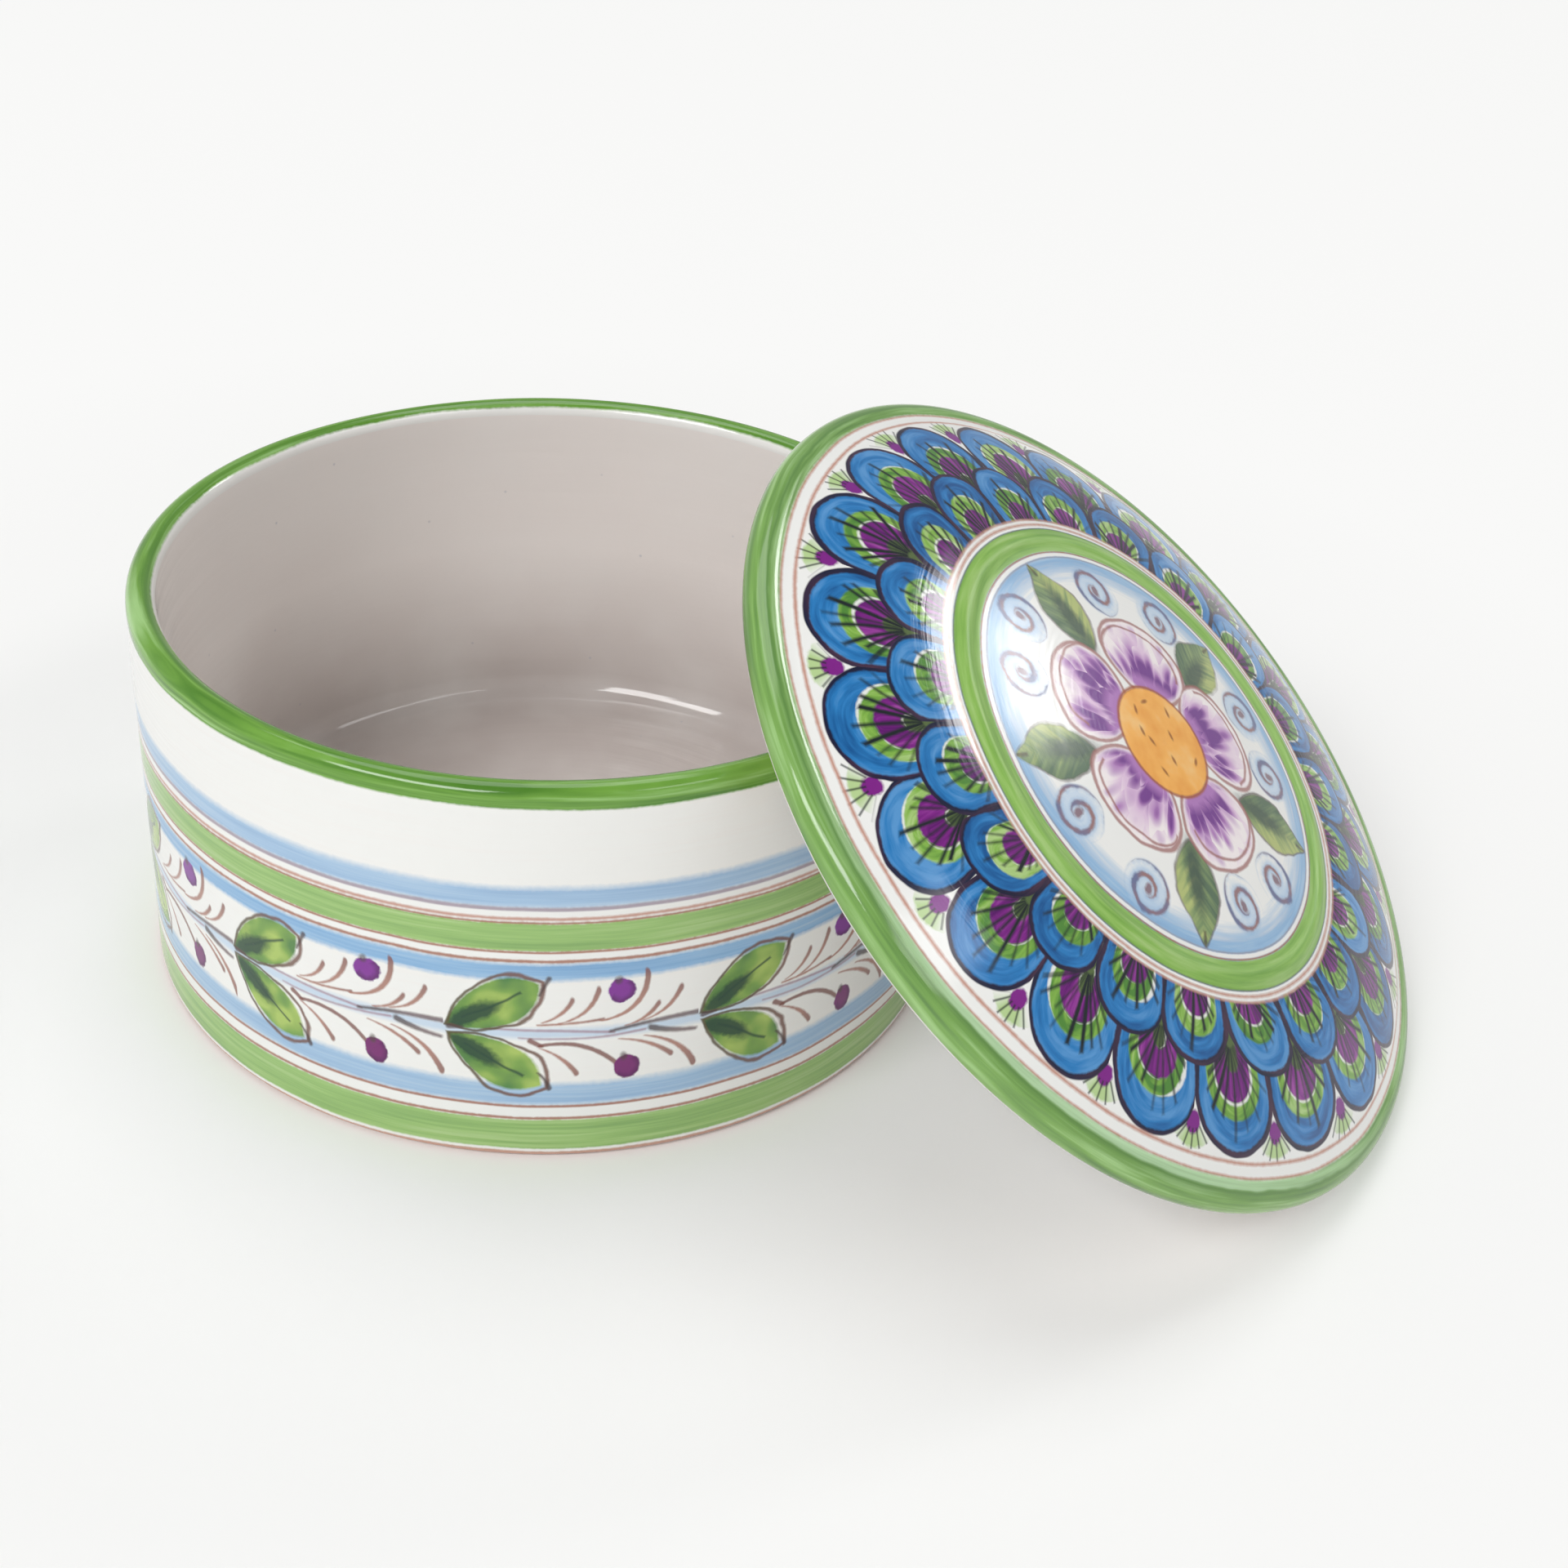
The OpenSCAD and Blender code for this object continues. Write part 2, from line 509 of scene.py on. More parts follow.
@dataclass(frozen=True)
class Leaf(Spot):
    """A brushed leaf: its base, the way it points, its length and half its width, in millimetres.

    Its painted outline strays from it by the loose width towards its tip.
    """

    length: float = 0.0
    half: float = 0.0
    skew: float = 0.28
    loose: float = 0.0

    def distance(self, c: Canvas, along: Field, across: Field) -> Field:
        """How far a point lies outside the leaf: two arcs that meet in a point, fuller at the far end.

        Args:
            c: The canvas.
            along: The point's place along the leaf.
            across: Its place across it.

        Returns:
            Millimetres, negative inside.
        """
        middle = self.length / 2
        curve = (middle**2 + self.half**2) / (2 * self.half)
        full = c.add("Math", (along, -self.skew / middle, 1.0 + self.skew), operation="MULTIPLY_ADD")
        side = c.add("Math", (abs(across), full, curve - self.half), operation="MULTIPLY_ADD")
        return c.length(along - middle, side) - curve


@dataclass(frozen=True)
class WallPaint:
    """Tin-glazed earthenware painted with bands and a garland: crisp brush edges under a wet gloss.

    The stripes lie at heights above the table. The leaves and strokes of one repeat of the garland start
    at millimetres along the band and above the stem.
    """

    pose: Pose
    radius: float = 85.0
    lip_centre: float = 82.2
    repeats: int = 11
    stem_h: float = 30.8
    phase: float = 0.1625
    leaves: tuple[Leaf, ...] = (
        Leaf(0.5, 1.0, 32.0, 21.2, 5.2, 0.28, 0.35),
        Leaf(0.8, -0.7, -33.2, 21.2, 5.1, 0.28, 0.95),
    )
    tips: tuple[Stroke, ...] = (
        Stroke(18.0, 9.2, 66.0, 4.3, 0.0, 0.25, 0.5),
        Stroke(17.6, -9.4, -60.0, 4.4, 0.3, 0.25, 0.5),
        Stroke(1.0, 0.4, 4.0, 2.6, 0.0, 0.6, 0.3),
    )
    veins: tuple[Stroke, ...] = (
        Stroke(7.5, 1.4, -2.6, 24.5, 0.4, 0.24, 0.28),
        Stroke(14.0, -0.5, 1.2, 24.0, -0.5, 0.18, 0.26),
    )
    ticks: tuple[Stroke, ...] = (
        Stroke(31.4, 0.1, 4.5, 17.2, 0.5, 0.36, 0.6),
        Stroke(39.2, -0.3, -13.9, 9.0, -0.3, 0.72, 0.42),
    )
    tendrils_up: tuple[Stroke, ...] = (
        Stroke(19.0, 2.9, 42.0, 7.6, -0.9, 0.14, 0.55),
        Stroke(22.2, 2.6, 46.0, 10.6, -1.6, 0.14, 0.62),
        Stroke(18.2, 2.4, 4.6, 12.4, -0.3, 0.2, 0.3),
        Stroke(30.3, 3.0, 49.9, 13.3, -2.9, 0.28, 0.72),
        Stroke(34.9, 1.3, 34.0, 7.6, -0.9, 0.14, 0.55),
        Stroke(38.4, 2.0, 42.2, 9.6, -1.3, 0.14, 0.62),
    )
    tendrils_down: tuple[Stroke, ...] = (
        Stroke(16.8, -1.8, -31.8, 2.4, 0.0, 0.62, 0.45),
        Stroke(18.6, -3.0, -17.7, 15.1, 2.2, 0.42, 0.55),
        Stroke(18.6, -3.6, -41.0, 9.4, 0.8, 0.14, 0.62),
        Stroke(33.6, -2.2, -27.4, 11.4, 0.9, 0.14, 0.58),
        Stroke(38.6, -2.2, -41.0, 13.0, 1.6, 0.16, 0.75),
    )
    washes: tuple[Stripe, ...] = (
        Stripe(Ink.SKY, 59.4, 64.0, 0.8, 0.84),
        Stripe(Ink.SKY, 43.3, 47.2, 0.6, 1.0),
        Stripe(Ink.SKY, 13.3, 18.7, 0.8, 0.86),
    )
    bands: tuple[Stripe, ...] = (
        Stripe(Ink.LINE_MAUVE, 58.8, 59.7, 0.25),
        Stripe(Ink.TIN_WHITE, 56.4, 58.8, 0.15),
        Stripe(Ink.LINE_PINK, 56.8, 57.5, 0.25),
        Stripe(Ink.LINE_BROWN, 55.9, 56.5),
        Stripe(Ink.BAND_GREEN, 50.0, 56.0),
        Stripe(Ink.LINE_BROWN, 49.4, 50.0),
        Stripe(Ink.TIN_WHITE, 48.2, 49.4, 0.15),
        Stripe(Ink.LINE_BROWN, 47.4, 48.1),
        Stripe(Ink.LINE_BROWN, 12.7, 13.4),
        Stripe(Ink.TIN_WHITE, 10.4, 12.7, 0.15),
        Stripe(Ink.LINE_BROWN, 9.7, 10.4),
        Stripe(Ink.BAND_GREEN, 2.2, 9.6),
        Stripe(Ink.CLAY, -1.0, 1.5),
    )
    berry_r: float = 2.7
    leaf_line: float = 0.36
    # The green of the lip starts lower on the wall's outside than on its inside
    green_from: tuple[float, float] = (84.0, 80.9)
    gloss: tuple[float, float] = (0.1, 0.17)

    def leaf(self, c: Canvas, leaf: Leaf, x: Field, y: Field, place: Place, ground: Field) -> Field:
        """Lay one leaf: a yellow-green body, a dark brush core, a rib and a loose brown outline.

        Args:
            c: The canvas.
            leaf: The leaf's sizes.
            x: Millimetres along the band in the repeat.
            y: Millimetres above the stem.
            place: The place on the box.
            ground: The colour below.

        Returns:
            The colour with the leaf on it.
        """
        edge = place.edge
        along, across = leaf.frame(c, x, y)
        shape = leaf.distance(c, along, across)
        body = c.grain(place.at, 0.16, 1.0) * 1.2 - (shape + 2.4) * 0.06
        paint = c.shades(Ink.LEAF, Ink.LEAF_MID, Ink.LEAF_LIGHT, body + 0.13, 0.22)
        inside = c.cover(shape + 0.2 + edge, 0.3)
        ground = c.lay(ground, paint, inside * 0.96)
        # The dark core is a wash and a stroke near the base, with a rib drawn through both
        wash = c.length((along - 6.6) * 0.42, across * 0.9 + edge * 2.0) - 2.5
        ground = c.brush(ground, Ink.LEAF_MID, wash, 0.9, inside * 0.6)
        core = c.length((along - 6.0) * 0.32, across + 0.2 + edge * 3.0 + place.drift) - 1.9
        ground = c.brush(ground, Ink.LEAF_DARK, core, 0.5, inside * 0.92)
        rib = c.most(abs(across + place.drift * 0.7) - 0.28, abs(along - 10.5) - 6.5)
        ground = c.brush(ground, Ink.LEAF_DARK, rib, 0.2, 0.85)
        # The outline turns redder and leaves the leaf's edge towards the tip
        brown = c.lay(Ink.LEAF_LINE, Ink.TENDRIL_DARK, c.add("MapRange", (along, 8.0, 18.0, 0.0, 0.7)))
        away = c.add("MapRange", (along, 5.0, 18.0, 0.0, leaf.loose))
        line = abs(shape - away + place.drift * 0.9 - edge * 0.6) - self.leaf_line
        return c.brush(ground, brown, line, 0.2, 0.9)

    def garland(self, c: Canvas, place: Place, ground: Field) -> Field:
        """Lay the garland of leaves, berries and tendrils over the white band.

        Args:
            c: The canvas.
            place: The place on the box.
            ground: The colour below.

        Returns:
            The colour with the garland on it.
        """
        edge = place.edge
        pitch = math.tau * self.radius / self.repeats
        index, share = c.tile(place.angle, self.repeats, self.phase)
        chance, second, third = c.luck(index, 3.7)
        x = share * pitch + pitch / 2
        y = place.height - self.stem_h
        # Stem: a pale wash with two thin mauve lines on it, and dark ticks beside the leaves
        ground = c.brush(ground, Ink.STEM_WASH, abs(y - 0.1) - 1.2 + edge, 0.7, 0.8)
        lean = y + chance * 1.4
        for stroke in self.veins:
            shape = stroke.distance(c, x, lean)[0] + edge * 0.4
            ground = c.brush(ground, Ink.STEM_LINE, shape, 0.25, 0.85)
        for stroke in self.ticks:
            shape, share = stroke.distance(c, x, y)
            paint = c.lay(Ink.LEAF_TIP, Ink.STEM_DARK, c.add("MapRange", (share, 0.2, 0.6, 0.0, 1.0)))
            ground = c.brush(ground, paint, shape + edge * 0.7, 0.3, 0.85)
        # Tendrils: thin where they leave the stem and thick at the tip
        moved = x + second * 1.2
        above, below = y + third * 0.7, y - chance * 0.7
        for side, strokes in ((above, self.tendrils_up), (below, self.tendrils_down)):
            for number, stroke in enumerate(strokes):
                shape, share = stroke.distance(c, moved + (third if number % 2 else chance) * 0.9, side)
                paint = Ink.TENDRIL_DARK
                if stroke.thin < 0.3:
                    paint = c.lay(Ink.TENDRIL, paint, c.add("MapRange", (share, 0.6, 1.0, 0.0, 0.8)))
                ground = c.brush(ground, paint, shape + edge * 0.7, 0.22, 0.88)
        # Berries: one above the stem and one below it, each with a dark side and a small cap
        for u, v, tone in (
            (moved - 33.9, y - 9.9 + third, Ink.BERRY),
            ((moved - 35.1) * 1.14, (y + 9.1 - chance) * 0.93, Ink.BERRY_WINE),
        ):
            round_shape = c.length(u, v) - self.berry_r + edge * 2.0 + place.drift * 0.8
            ground = c.brush(ground, tone, round_shape, 0.2)
            rim = c.most(0.0 - round_shape - 0.9, c.slant(u, v, -1.0, 1.0, -0.6))
            ground = c.brush(ground, Ink.BERRY_DARK, rim, 0.5, c.cover(round_shape, 0.2) * 0.6)
            cap = c.length(u + 0.8, (v - 2.3) * 0.8) - 0.75 + edge
            ground = c.brush(ground, Ink.LEAF_TIP, cap, 0.3, 0.7)
        for leaf, shift in zip(self.leaves, (second, third)):
            ground = self.leaf(c, leaf, x + shift * 0.8, y + shift * 0.8, place, ground)
        for stroke in self.tips:
            shape = stroke.distance(c, x, y)[0] + edge * 0.7
            ground = c.brush(ground, Ink.LEAF_TIP, shape, 0.25, 0.85)
        return ground

    def make(self) -> bpy.types.Material:
        """Build the finish: white glaze, the garland, the bands and the green lip.

        Returns:
            The material.
        """
        c = Canvas(bpy.data.materials.new("tin_glaze_brush_painted_wall"))
        place = self.pose.place(c, 0.5, 1.0)
        height, thin = place.height, place.edge * 0.8
        streak = place.streak(c, 2.5, 0.8, 1.1)
        colour = c.lay(Ink.TIN_WHITE, Ink.INSIDE_WHITE, c.add("MapRange", (streak, 0.0, 0.9, 0.0, 1.0)))
        green = c.shades(Ink.BAND_GREEN, Ink.BAND_GREEN_DARK, Ink.BAND_GREEN_LIGHT, streak)
        sky = c.shades(Ink.SKY, Ink.SKY_DARK, Ink.SKY_LIGHT, streak, 0.3)
        brushed = {Ink.BAND_GREEN: green, Ink.SKY: sky}
        colour = c.stripes(colour, self.washes, height, place.edge * 1.5, brushed)
        colour = self.garland(c, place, colour)
        colour = c.stripes(colour, self.bands, height, thin, brushed)
        lip = c.shades(Ink.LIP_GREEN, Ink.LIP_GREEN_DARK, Ink.LIP_GREEN_LIGHT, streak)
        crest = abs(place.radius - (self.lip_centre - 1.1)) - 0.55 + thin
        top = self.lip_centre + 0.6 - height
        lip = c.brush(lip, Ink.LIP_GREEN_DARK, c.most(crest, top), 0.5, 0.75)
        over = (place.radius, self.lip_centre - 1.5, self.lip_centre + 0.5, *self.green_from)
        starts = c.add("MapRange", over)
        colour = c.brush(colour, lip, starts - height + thin, 0.25)
        rough = c.add("MapRange", (streak, -0.3, 0.3, *self.gloss))
        return c.finish(colour, rough, streak, BRUSH_LIFT)


@dataclass(frozen=True)
class InsideGlaze:
    """Plain tin glaze over turned clay: a warm white gloss with faint rings from the wheel, and a painted
    shade that darkens it towards the floor when its deep colour is darker.
    """

    pose: Pose
    name: str = "tin_glaze_plain_inside"
    tone: Ink = Ink.INSIDE_WHITE
    # The deep colour is a painted shade, laid towards the floor
    deep: Ink = Ink.INSIDE_PAINTED_SHADE
    # Painted shade: the colour darkens from the middle of the wall down to the floor, as shade falls deep
    # inside the box
    shade_h: tuple[float, float] = (5.0, 48.0)
    pit_r: float = 0.035
    gloss: tuple[float, float] = (0.05, 0.09)
    lift: float = 0.00025

    def make(self) -> bpy.types.Material:
        """Build the finish.

        Returns:
            The material.
        """
        c = Canvas(bpy.data.materials.new(self.name))
        place = self.pose.place(c, 0.6, 2.0)
        rings = place.streak(c, 0.6, 0.16, 0.16)
        cloud = c.grain(place.at, 0.035, 3.0)
        # Painted shade: the deep colour at the floor, fading into the glaze's own tone up the wall
        colour = c.lay(self.deep, self.tone, c.add("MapRange", (place.height, *self.shade_h, 0.0, 1.0)))
        colour = c.lay(colour, Ink.TIN_WHITE, c.add("MapRange", (cloud, -0.1, 0.5, 0.0, 0.4)))
        pits = c.add("TexVoronoi", {"Vector": place.at, "Scale": 0.12})
        colour = c.brush(colour, Ink.STEM_GREY, pits - self.pit_r, 0.02, 0.35)
        rough = c.add("MapRange", (cloud, -0.3, 0.3, *self.gloss))
        return c.finish(colour, rough, rings, self.lift)


@dataclass(frozen=True)
class BareClay:
    """Biscuit clay wiped clean of glaze where the ware stood in the kiln: matt, buff and a bit gritty."""

    name: str = "buff_clay_unglazed"
    tone: Ink = Ink.CREAM_CLAY
    roughness: float = 0.75
    lift: float = 0.00008

    def make(self) -> bpy.types.Material:
        """Build the finish.

        Returns:
            The material.
        """
        c = Canvas(bpy.data.materials.new(self.name))
        grit = c.grain(Pose().place(c, 0.0, 3.0).at, 1.4, 4.0)
        colour = c.shades(self.tone, Ink.CLAY, Ink.TIN_WHITE, grit, 0.6)
        return c.finish(colour, self.roughness, grit, self.lift)


@dataclass(frozen=True)
class Row:
    """Sizes of one row of painted feathers, in millimetres, from the middle of the feather outwards."""

    centre: float
    half: float
    phase: float
    seed: float
    green_y: float
    green_r: float
    eye_y: float
    eye_r: float
    foot_y: float
    foot_r: float
    hair_from: float
    hair_to: float
    hair_y: float = 9.3
    spread: float = 0.21


@dataclass(frozen=True)
class FeatherPaint:
    """Tin glaze painted with two rows of peacock feathers inside a green rim.

    The colours look deep and wet under the gloss, with brush strokes in the blue and dark outlines.
    """

    pose: Pose
    count: int = 21
    turn: float = 1.5
    # The painter spaced the feathers by eye, so they sway round the lid, in degrees
    sway: float = 1.7
    sways: float = 3.0
    sway_at: float = 24.0
    outer: Row = Row(
        centre=71.6,
        half=10.9,
        phase=0.0,
        seed=11.0,
        green_y=-3.0,
        green_r=7.8,
        eye_y=-3.5,
        eye_r=5.3,
        foot_y=-5.6,
        foot_r=1.9,
        hair_from=1.2,
        hair_to=16.4,
    )
    inner: Row = Row(
        centre=59.6,
        half=9.0,
        phase=0.5,
        seed=47.0,
        green_y=-2.6,
        green_r=5.9,
        eye_y=-4.3,
        eye_r=3.9,
        foot_y=-7.0,
        foot_r=1.2,
        hair_from=1.0,
        hair_to=14.4,
    )
    outline: float = 0.75
    fan_r: float = 78.4
    fan_foot: float = 1.8
    fan_dot_r: float = 1.8
    fan_spread: float = 0.34
    # The rolled rim: paler green up to its crest, strongest round the lid at pale_at, a dark line on the
    # crest, and a painted shade past it
    pale_r: float = 86.9
    crest_r: float = 88.3
    rim_shade_r: float = 88.7
    pale_at: float = -65.0
    # Past this radius and below this height the rim is wiped bare where it stood in the kiln
    bare_r: float = 86.0
    bare_h: float = -2.6
    white_to: float = 54.0
    gloss: tuple[float, float] = (0.09, 0.16)
    bands: tuple[Stripe, ...] = (
        Stripe(Ink.TIN_WHITE, 83.4, 86.0, 0.2, 0.95),
        Stripe(Ink.LINE_PINK, 82.9, 83.5, 0.25, 0.95),
        Stripe(Ink.LINE_PINK, 85.4, 85.9, 0.25, 0.95),
        Stripe(Ink.LIP_GREEN, 85.9, 100.0, 0.3, 0.95),
        Stripe(Ink.LINE_PINK, 52.6, 53.2, 0.3, 0.95),
        Stripe(Ink.LINE_PINK, 53.9, 54.3, 0.3, 0.95),
    )

    def feathers(self, c: Canvas, row: Row, place: Place) -> tuple[Field, Field]:
        """One row of feathers.

        Args:
            c: The canvas.
            row: The row's sizes.
            place: The place on the lid.

        Returns:
            The colour and the cover of the row.
        """
        edge, radius = place.edge, place.radius
        # Each feather has its own cell: x runs across it, y outwards, and rays fan out from its foot
        pitch = math.tau * row.centre / self.count
        index, share = c.tile(place.angle, self.count, row.phase)
        chance, second, third = c.luck(index, row.seed)
        y = radius - row.centre - second
        x = (share + chance * 0.05) * pitch - y * third * 0.3
        arc = row.half - c.length(x, c.most(y, 0.0)) + place.drift * 0.4
        side = (0.5 - abs(share)) * pitch + 0.3
        foot = y + row.hair_y
        ray = c.add("Math", (x, foot), operation="ARCTAN2")
        reach = c.length(x, foot)
        across = x + third * 1.4
        # Green and purple eyes on the blue, each with a white gap where the brush lifted
        green = c.length(across, c.most(y - row.green_y - chance, 0.0)) - row.green_r
        eye = c.length(across, c.most(y - row.eye_y - chance, 0.0)) - row.eye_r
        stroke = c.grain(c.add("CombineXYZ", (ray * 1.8, arc * 0.6, index * 3.1)), 1.0, 3.0)
        window = c.grain(c.add("CombineXYZ", (ray * 0.8, index * 5.7, 0.0)), 1.0, 0.0)
        colour = c.shades(Ink.BLUE, Ink.BLUE_DARK, Ink.BLUE_LIGHT, stroke + third * 0.3)
        tone = stroke * 1.1 + chance * 0.4
        leaf = c.shades(Ink.EYE_GREEN, Ink.EYE_GREEN_DARK, Ink.EYE_GREEN_LIGHT, tone)
        colour = c.brush(colour, leaf, green + edge, 0.25)
        gap = abs(green + 0.1) - (window - 0.01) * 2.4 + edge
        colour = c.brush(colour, Ink.TIN_WHITE, gap, 0.2, 0.9)
        plum = c.shades(Ink.EYE_PURPLE, Ink.EYE_PURPLE_DARK, Ink.EYE_PURPLE_LIGHT, stroke * 1.2)
        colour = c.brush(colour, plum, eye + edge * 1.8, 0.25)
        gap = abs(eye - 0.2) - (-0.08 - window) * 1.8 + edge
        colour = c.brush(colour, Ink.TIN_WHITE, gap, 0.2, 0.9)
        base = c.length(x, c.most(y - row.foot_y, 0.0)) - row.foot_r + edge * 2.4
        colour = c.brush(colour, Ink.FOOT_GREEN, base, 0.3)
        gap = abs(base + 0.3) - (window - 0.02) * 1.6
        colour = c.brush(colour, Ink.TIN_WHITE, gap, 0.2, 0.9)
        # Hairs fan out from the foot, each with its own place, length and weight
        turns = ray / row.spread
        number = c.add("Math", (turns,), operation="ROUND")
        own = c.luck(number + index * 17.0, row.seed + 3.0)
        off = (turns - number - own[0] * 0.45) * row.spread
        end = row.hair_to - abs(ray) * 6.0 + own[1] * 4.0
        width = abs(off) * reach - own[2] * 0.25 - 0.36
        hair = c.most(width, reach - end, row.hair_from - reach, abs(ray) - 0.98)
        fade = c.add("MapRange", (green, -0.5, 2.5, 0.9, 0.66)) + own[2] * 0.4
        colour = c.brush(colour, Ink.HAIR, hair + edge * 0.5, 0.28, fade)
        # A dark line runs round the feather and is browner where the brush was dry
        warm = c.add("MapRange", (stroke, -0.1, 0.25, 0.0, 1.0))
        line = c.lay(Ink.FEATHER_LINE, Ink.FEATHER_LINE_WARM, warm)
        rim = c.least(arc - 0.1, side) - self.outline + edge + window * 1.2
        colour = c.brush(colour, line, rim, 0.2, 0.96)
        joined = c.add("MapRange", (y, 4.0, 0.0, 0.0, 0.5))
        return colour, c.cover(0.0 - arc - joined)

    def fans(self, c: Canvas, place: Place, ground: Paint) -> Field:
        """Small green and purple fans in the gaps between the outer feathers.

        Args:
            c: The canvas.
            place: The place on the lid.
            ground: The colour below.

        Returns:
            The colour with the fans on it.
        """
        edge = place.edge
        pitch = math.tau * self.fan_r / self.count
        index, share = c.tile(place.angle, self.count, self.outer.phase + 0.5)
        chance = c.luck(index, 5.0)[0]
        x = (share + chance * 0.03) * pitch
        y = place.radius - self.fan_r
        foot = y + self.fan_foot
        ray = c.add("Math", (x, foot), operation="ARCTAN2")
        reach = c.length(x, foot)
        # A pale green fan with a purple dot and dark hairs
        green = c.most(reach - 5.8 + edge * 2.0, abs(ray) - 0.66)
        ground = c.brush(ground, Ink.EYE_GREEN_LIGHT, green, 0.3, 0.9)
        dot = c.length(x, (y + 0.3) * 0.86) - self.fan_dot_r + edge * 2.0
        ground = c.brush(ground, Ink.EYE_PURPLE, dot, 0.25)
        part = (ray + chance * 0.2) / self.fan_spread
        part = abs(part - c.add("Math", (part,), operation="ROUND")) * self.fan_spread
        hair = c.most(part * reach - 0.2, reach - 6.6 - chance * 2.0, 2.6 - reach, abs(ray) - 0.86)
        return c.brush(ground, Ink.HAIR, hair, thick=0.8)

    def make(self) -> bpy.types.Material:
        """Build the finish: fans, the two rows, the ring lines and the rolled rim.

        Returns:
            The material.
        """
        c = Canvas(bpy.data.materials.new("tin_glaze_brush_painted_feathers"))
        place = self.pose.place(c, 0.45, 4.0)
        sway = c.add("Math", (place.angle * self.sways - math.radians(self.sway_at),), operation="COSINE")
        angle = place.angle + math.radians(self.turn) - sway * math.radians(self.sway)
        place = replace(place, angle=angle)
        edge, radius, height = place.edge, place.radius, place.height
        colour = self.fans(c, place, Ink.TIN_WHITE)
        for row in (self.outer, self.inner):
            paint, cover = self.feathers(c, row, place)
            colour = c.lay(colour, paint, cover)
        streak = place.streak(c, 3.0, 0.9, -0.5)
        green = c.shades(Ink.LIP_GREEN, Ink.LIP_GREEN_DARK, Ink.LIP_GREEN_LIGHT, streak)
        slow = place.drift * 0.4
        slope = abs(radius - self.pale_r + slow) - 1.05
        # The pale green is strongest on the side of the lid at pale_at and fades away from it
        pale_side = c.add("Math", (place.angle - math.radians(self.pale_at),), operation="COSINE")
        pale = c.add("MapRange", (pale_side, 0.45, 0.95, 0.1, 0.85)) + streak
        green = c.brush(green, Ink.LIP_GREEN_PALE, slope, 0.3, c.most(pale, 0.0))
        crest = abs(radius - self.crest_r + slow) - 0.3
        # Painted shade: a soft darker green past the crest, on the rim's outer side
        rim_shade = abs(radius - self.rim_shade_r + slow) - 0.6 - streak
        green = c.brush(green, Ink.LIP_GREEN_DARK, rim_shade, 0.8, 0.5)
        green = c.brush(green, Ink.LIP_GREEN_DARK, crest, 0.25, 0.85)
        white = radius - self.white_to + edge + place.drift * 0.5
        colour = c.brush(colour, Ink.TIN_WHITE, white, 0.25)
        colour = c.stripes(colour, self.bands, radius, edge * 0.7, {Ink.LIP_GREEN: green})
        bare = c.most(height - self.bare_h, self.bare_r - radius) + edge
        colour = c.brush(colour, Ink.CREAM_CLAY, bare, 0.25)
        rough = c.add("MapRange", (streak, -0.3, 0.3, *self.gloss))
        return c.finish(colour, rough, streak, BRUSH_LIFT)


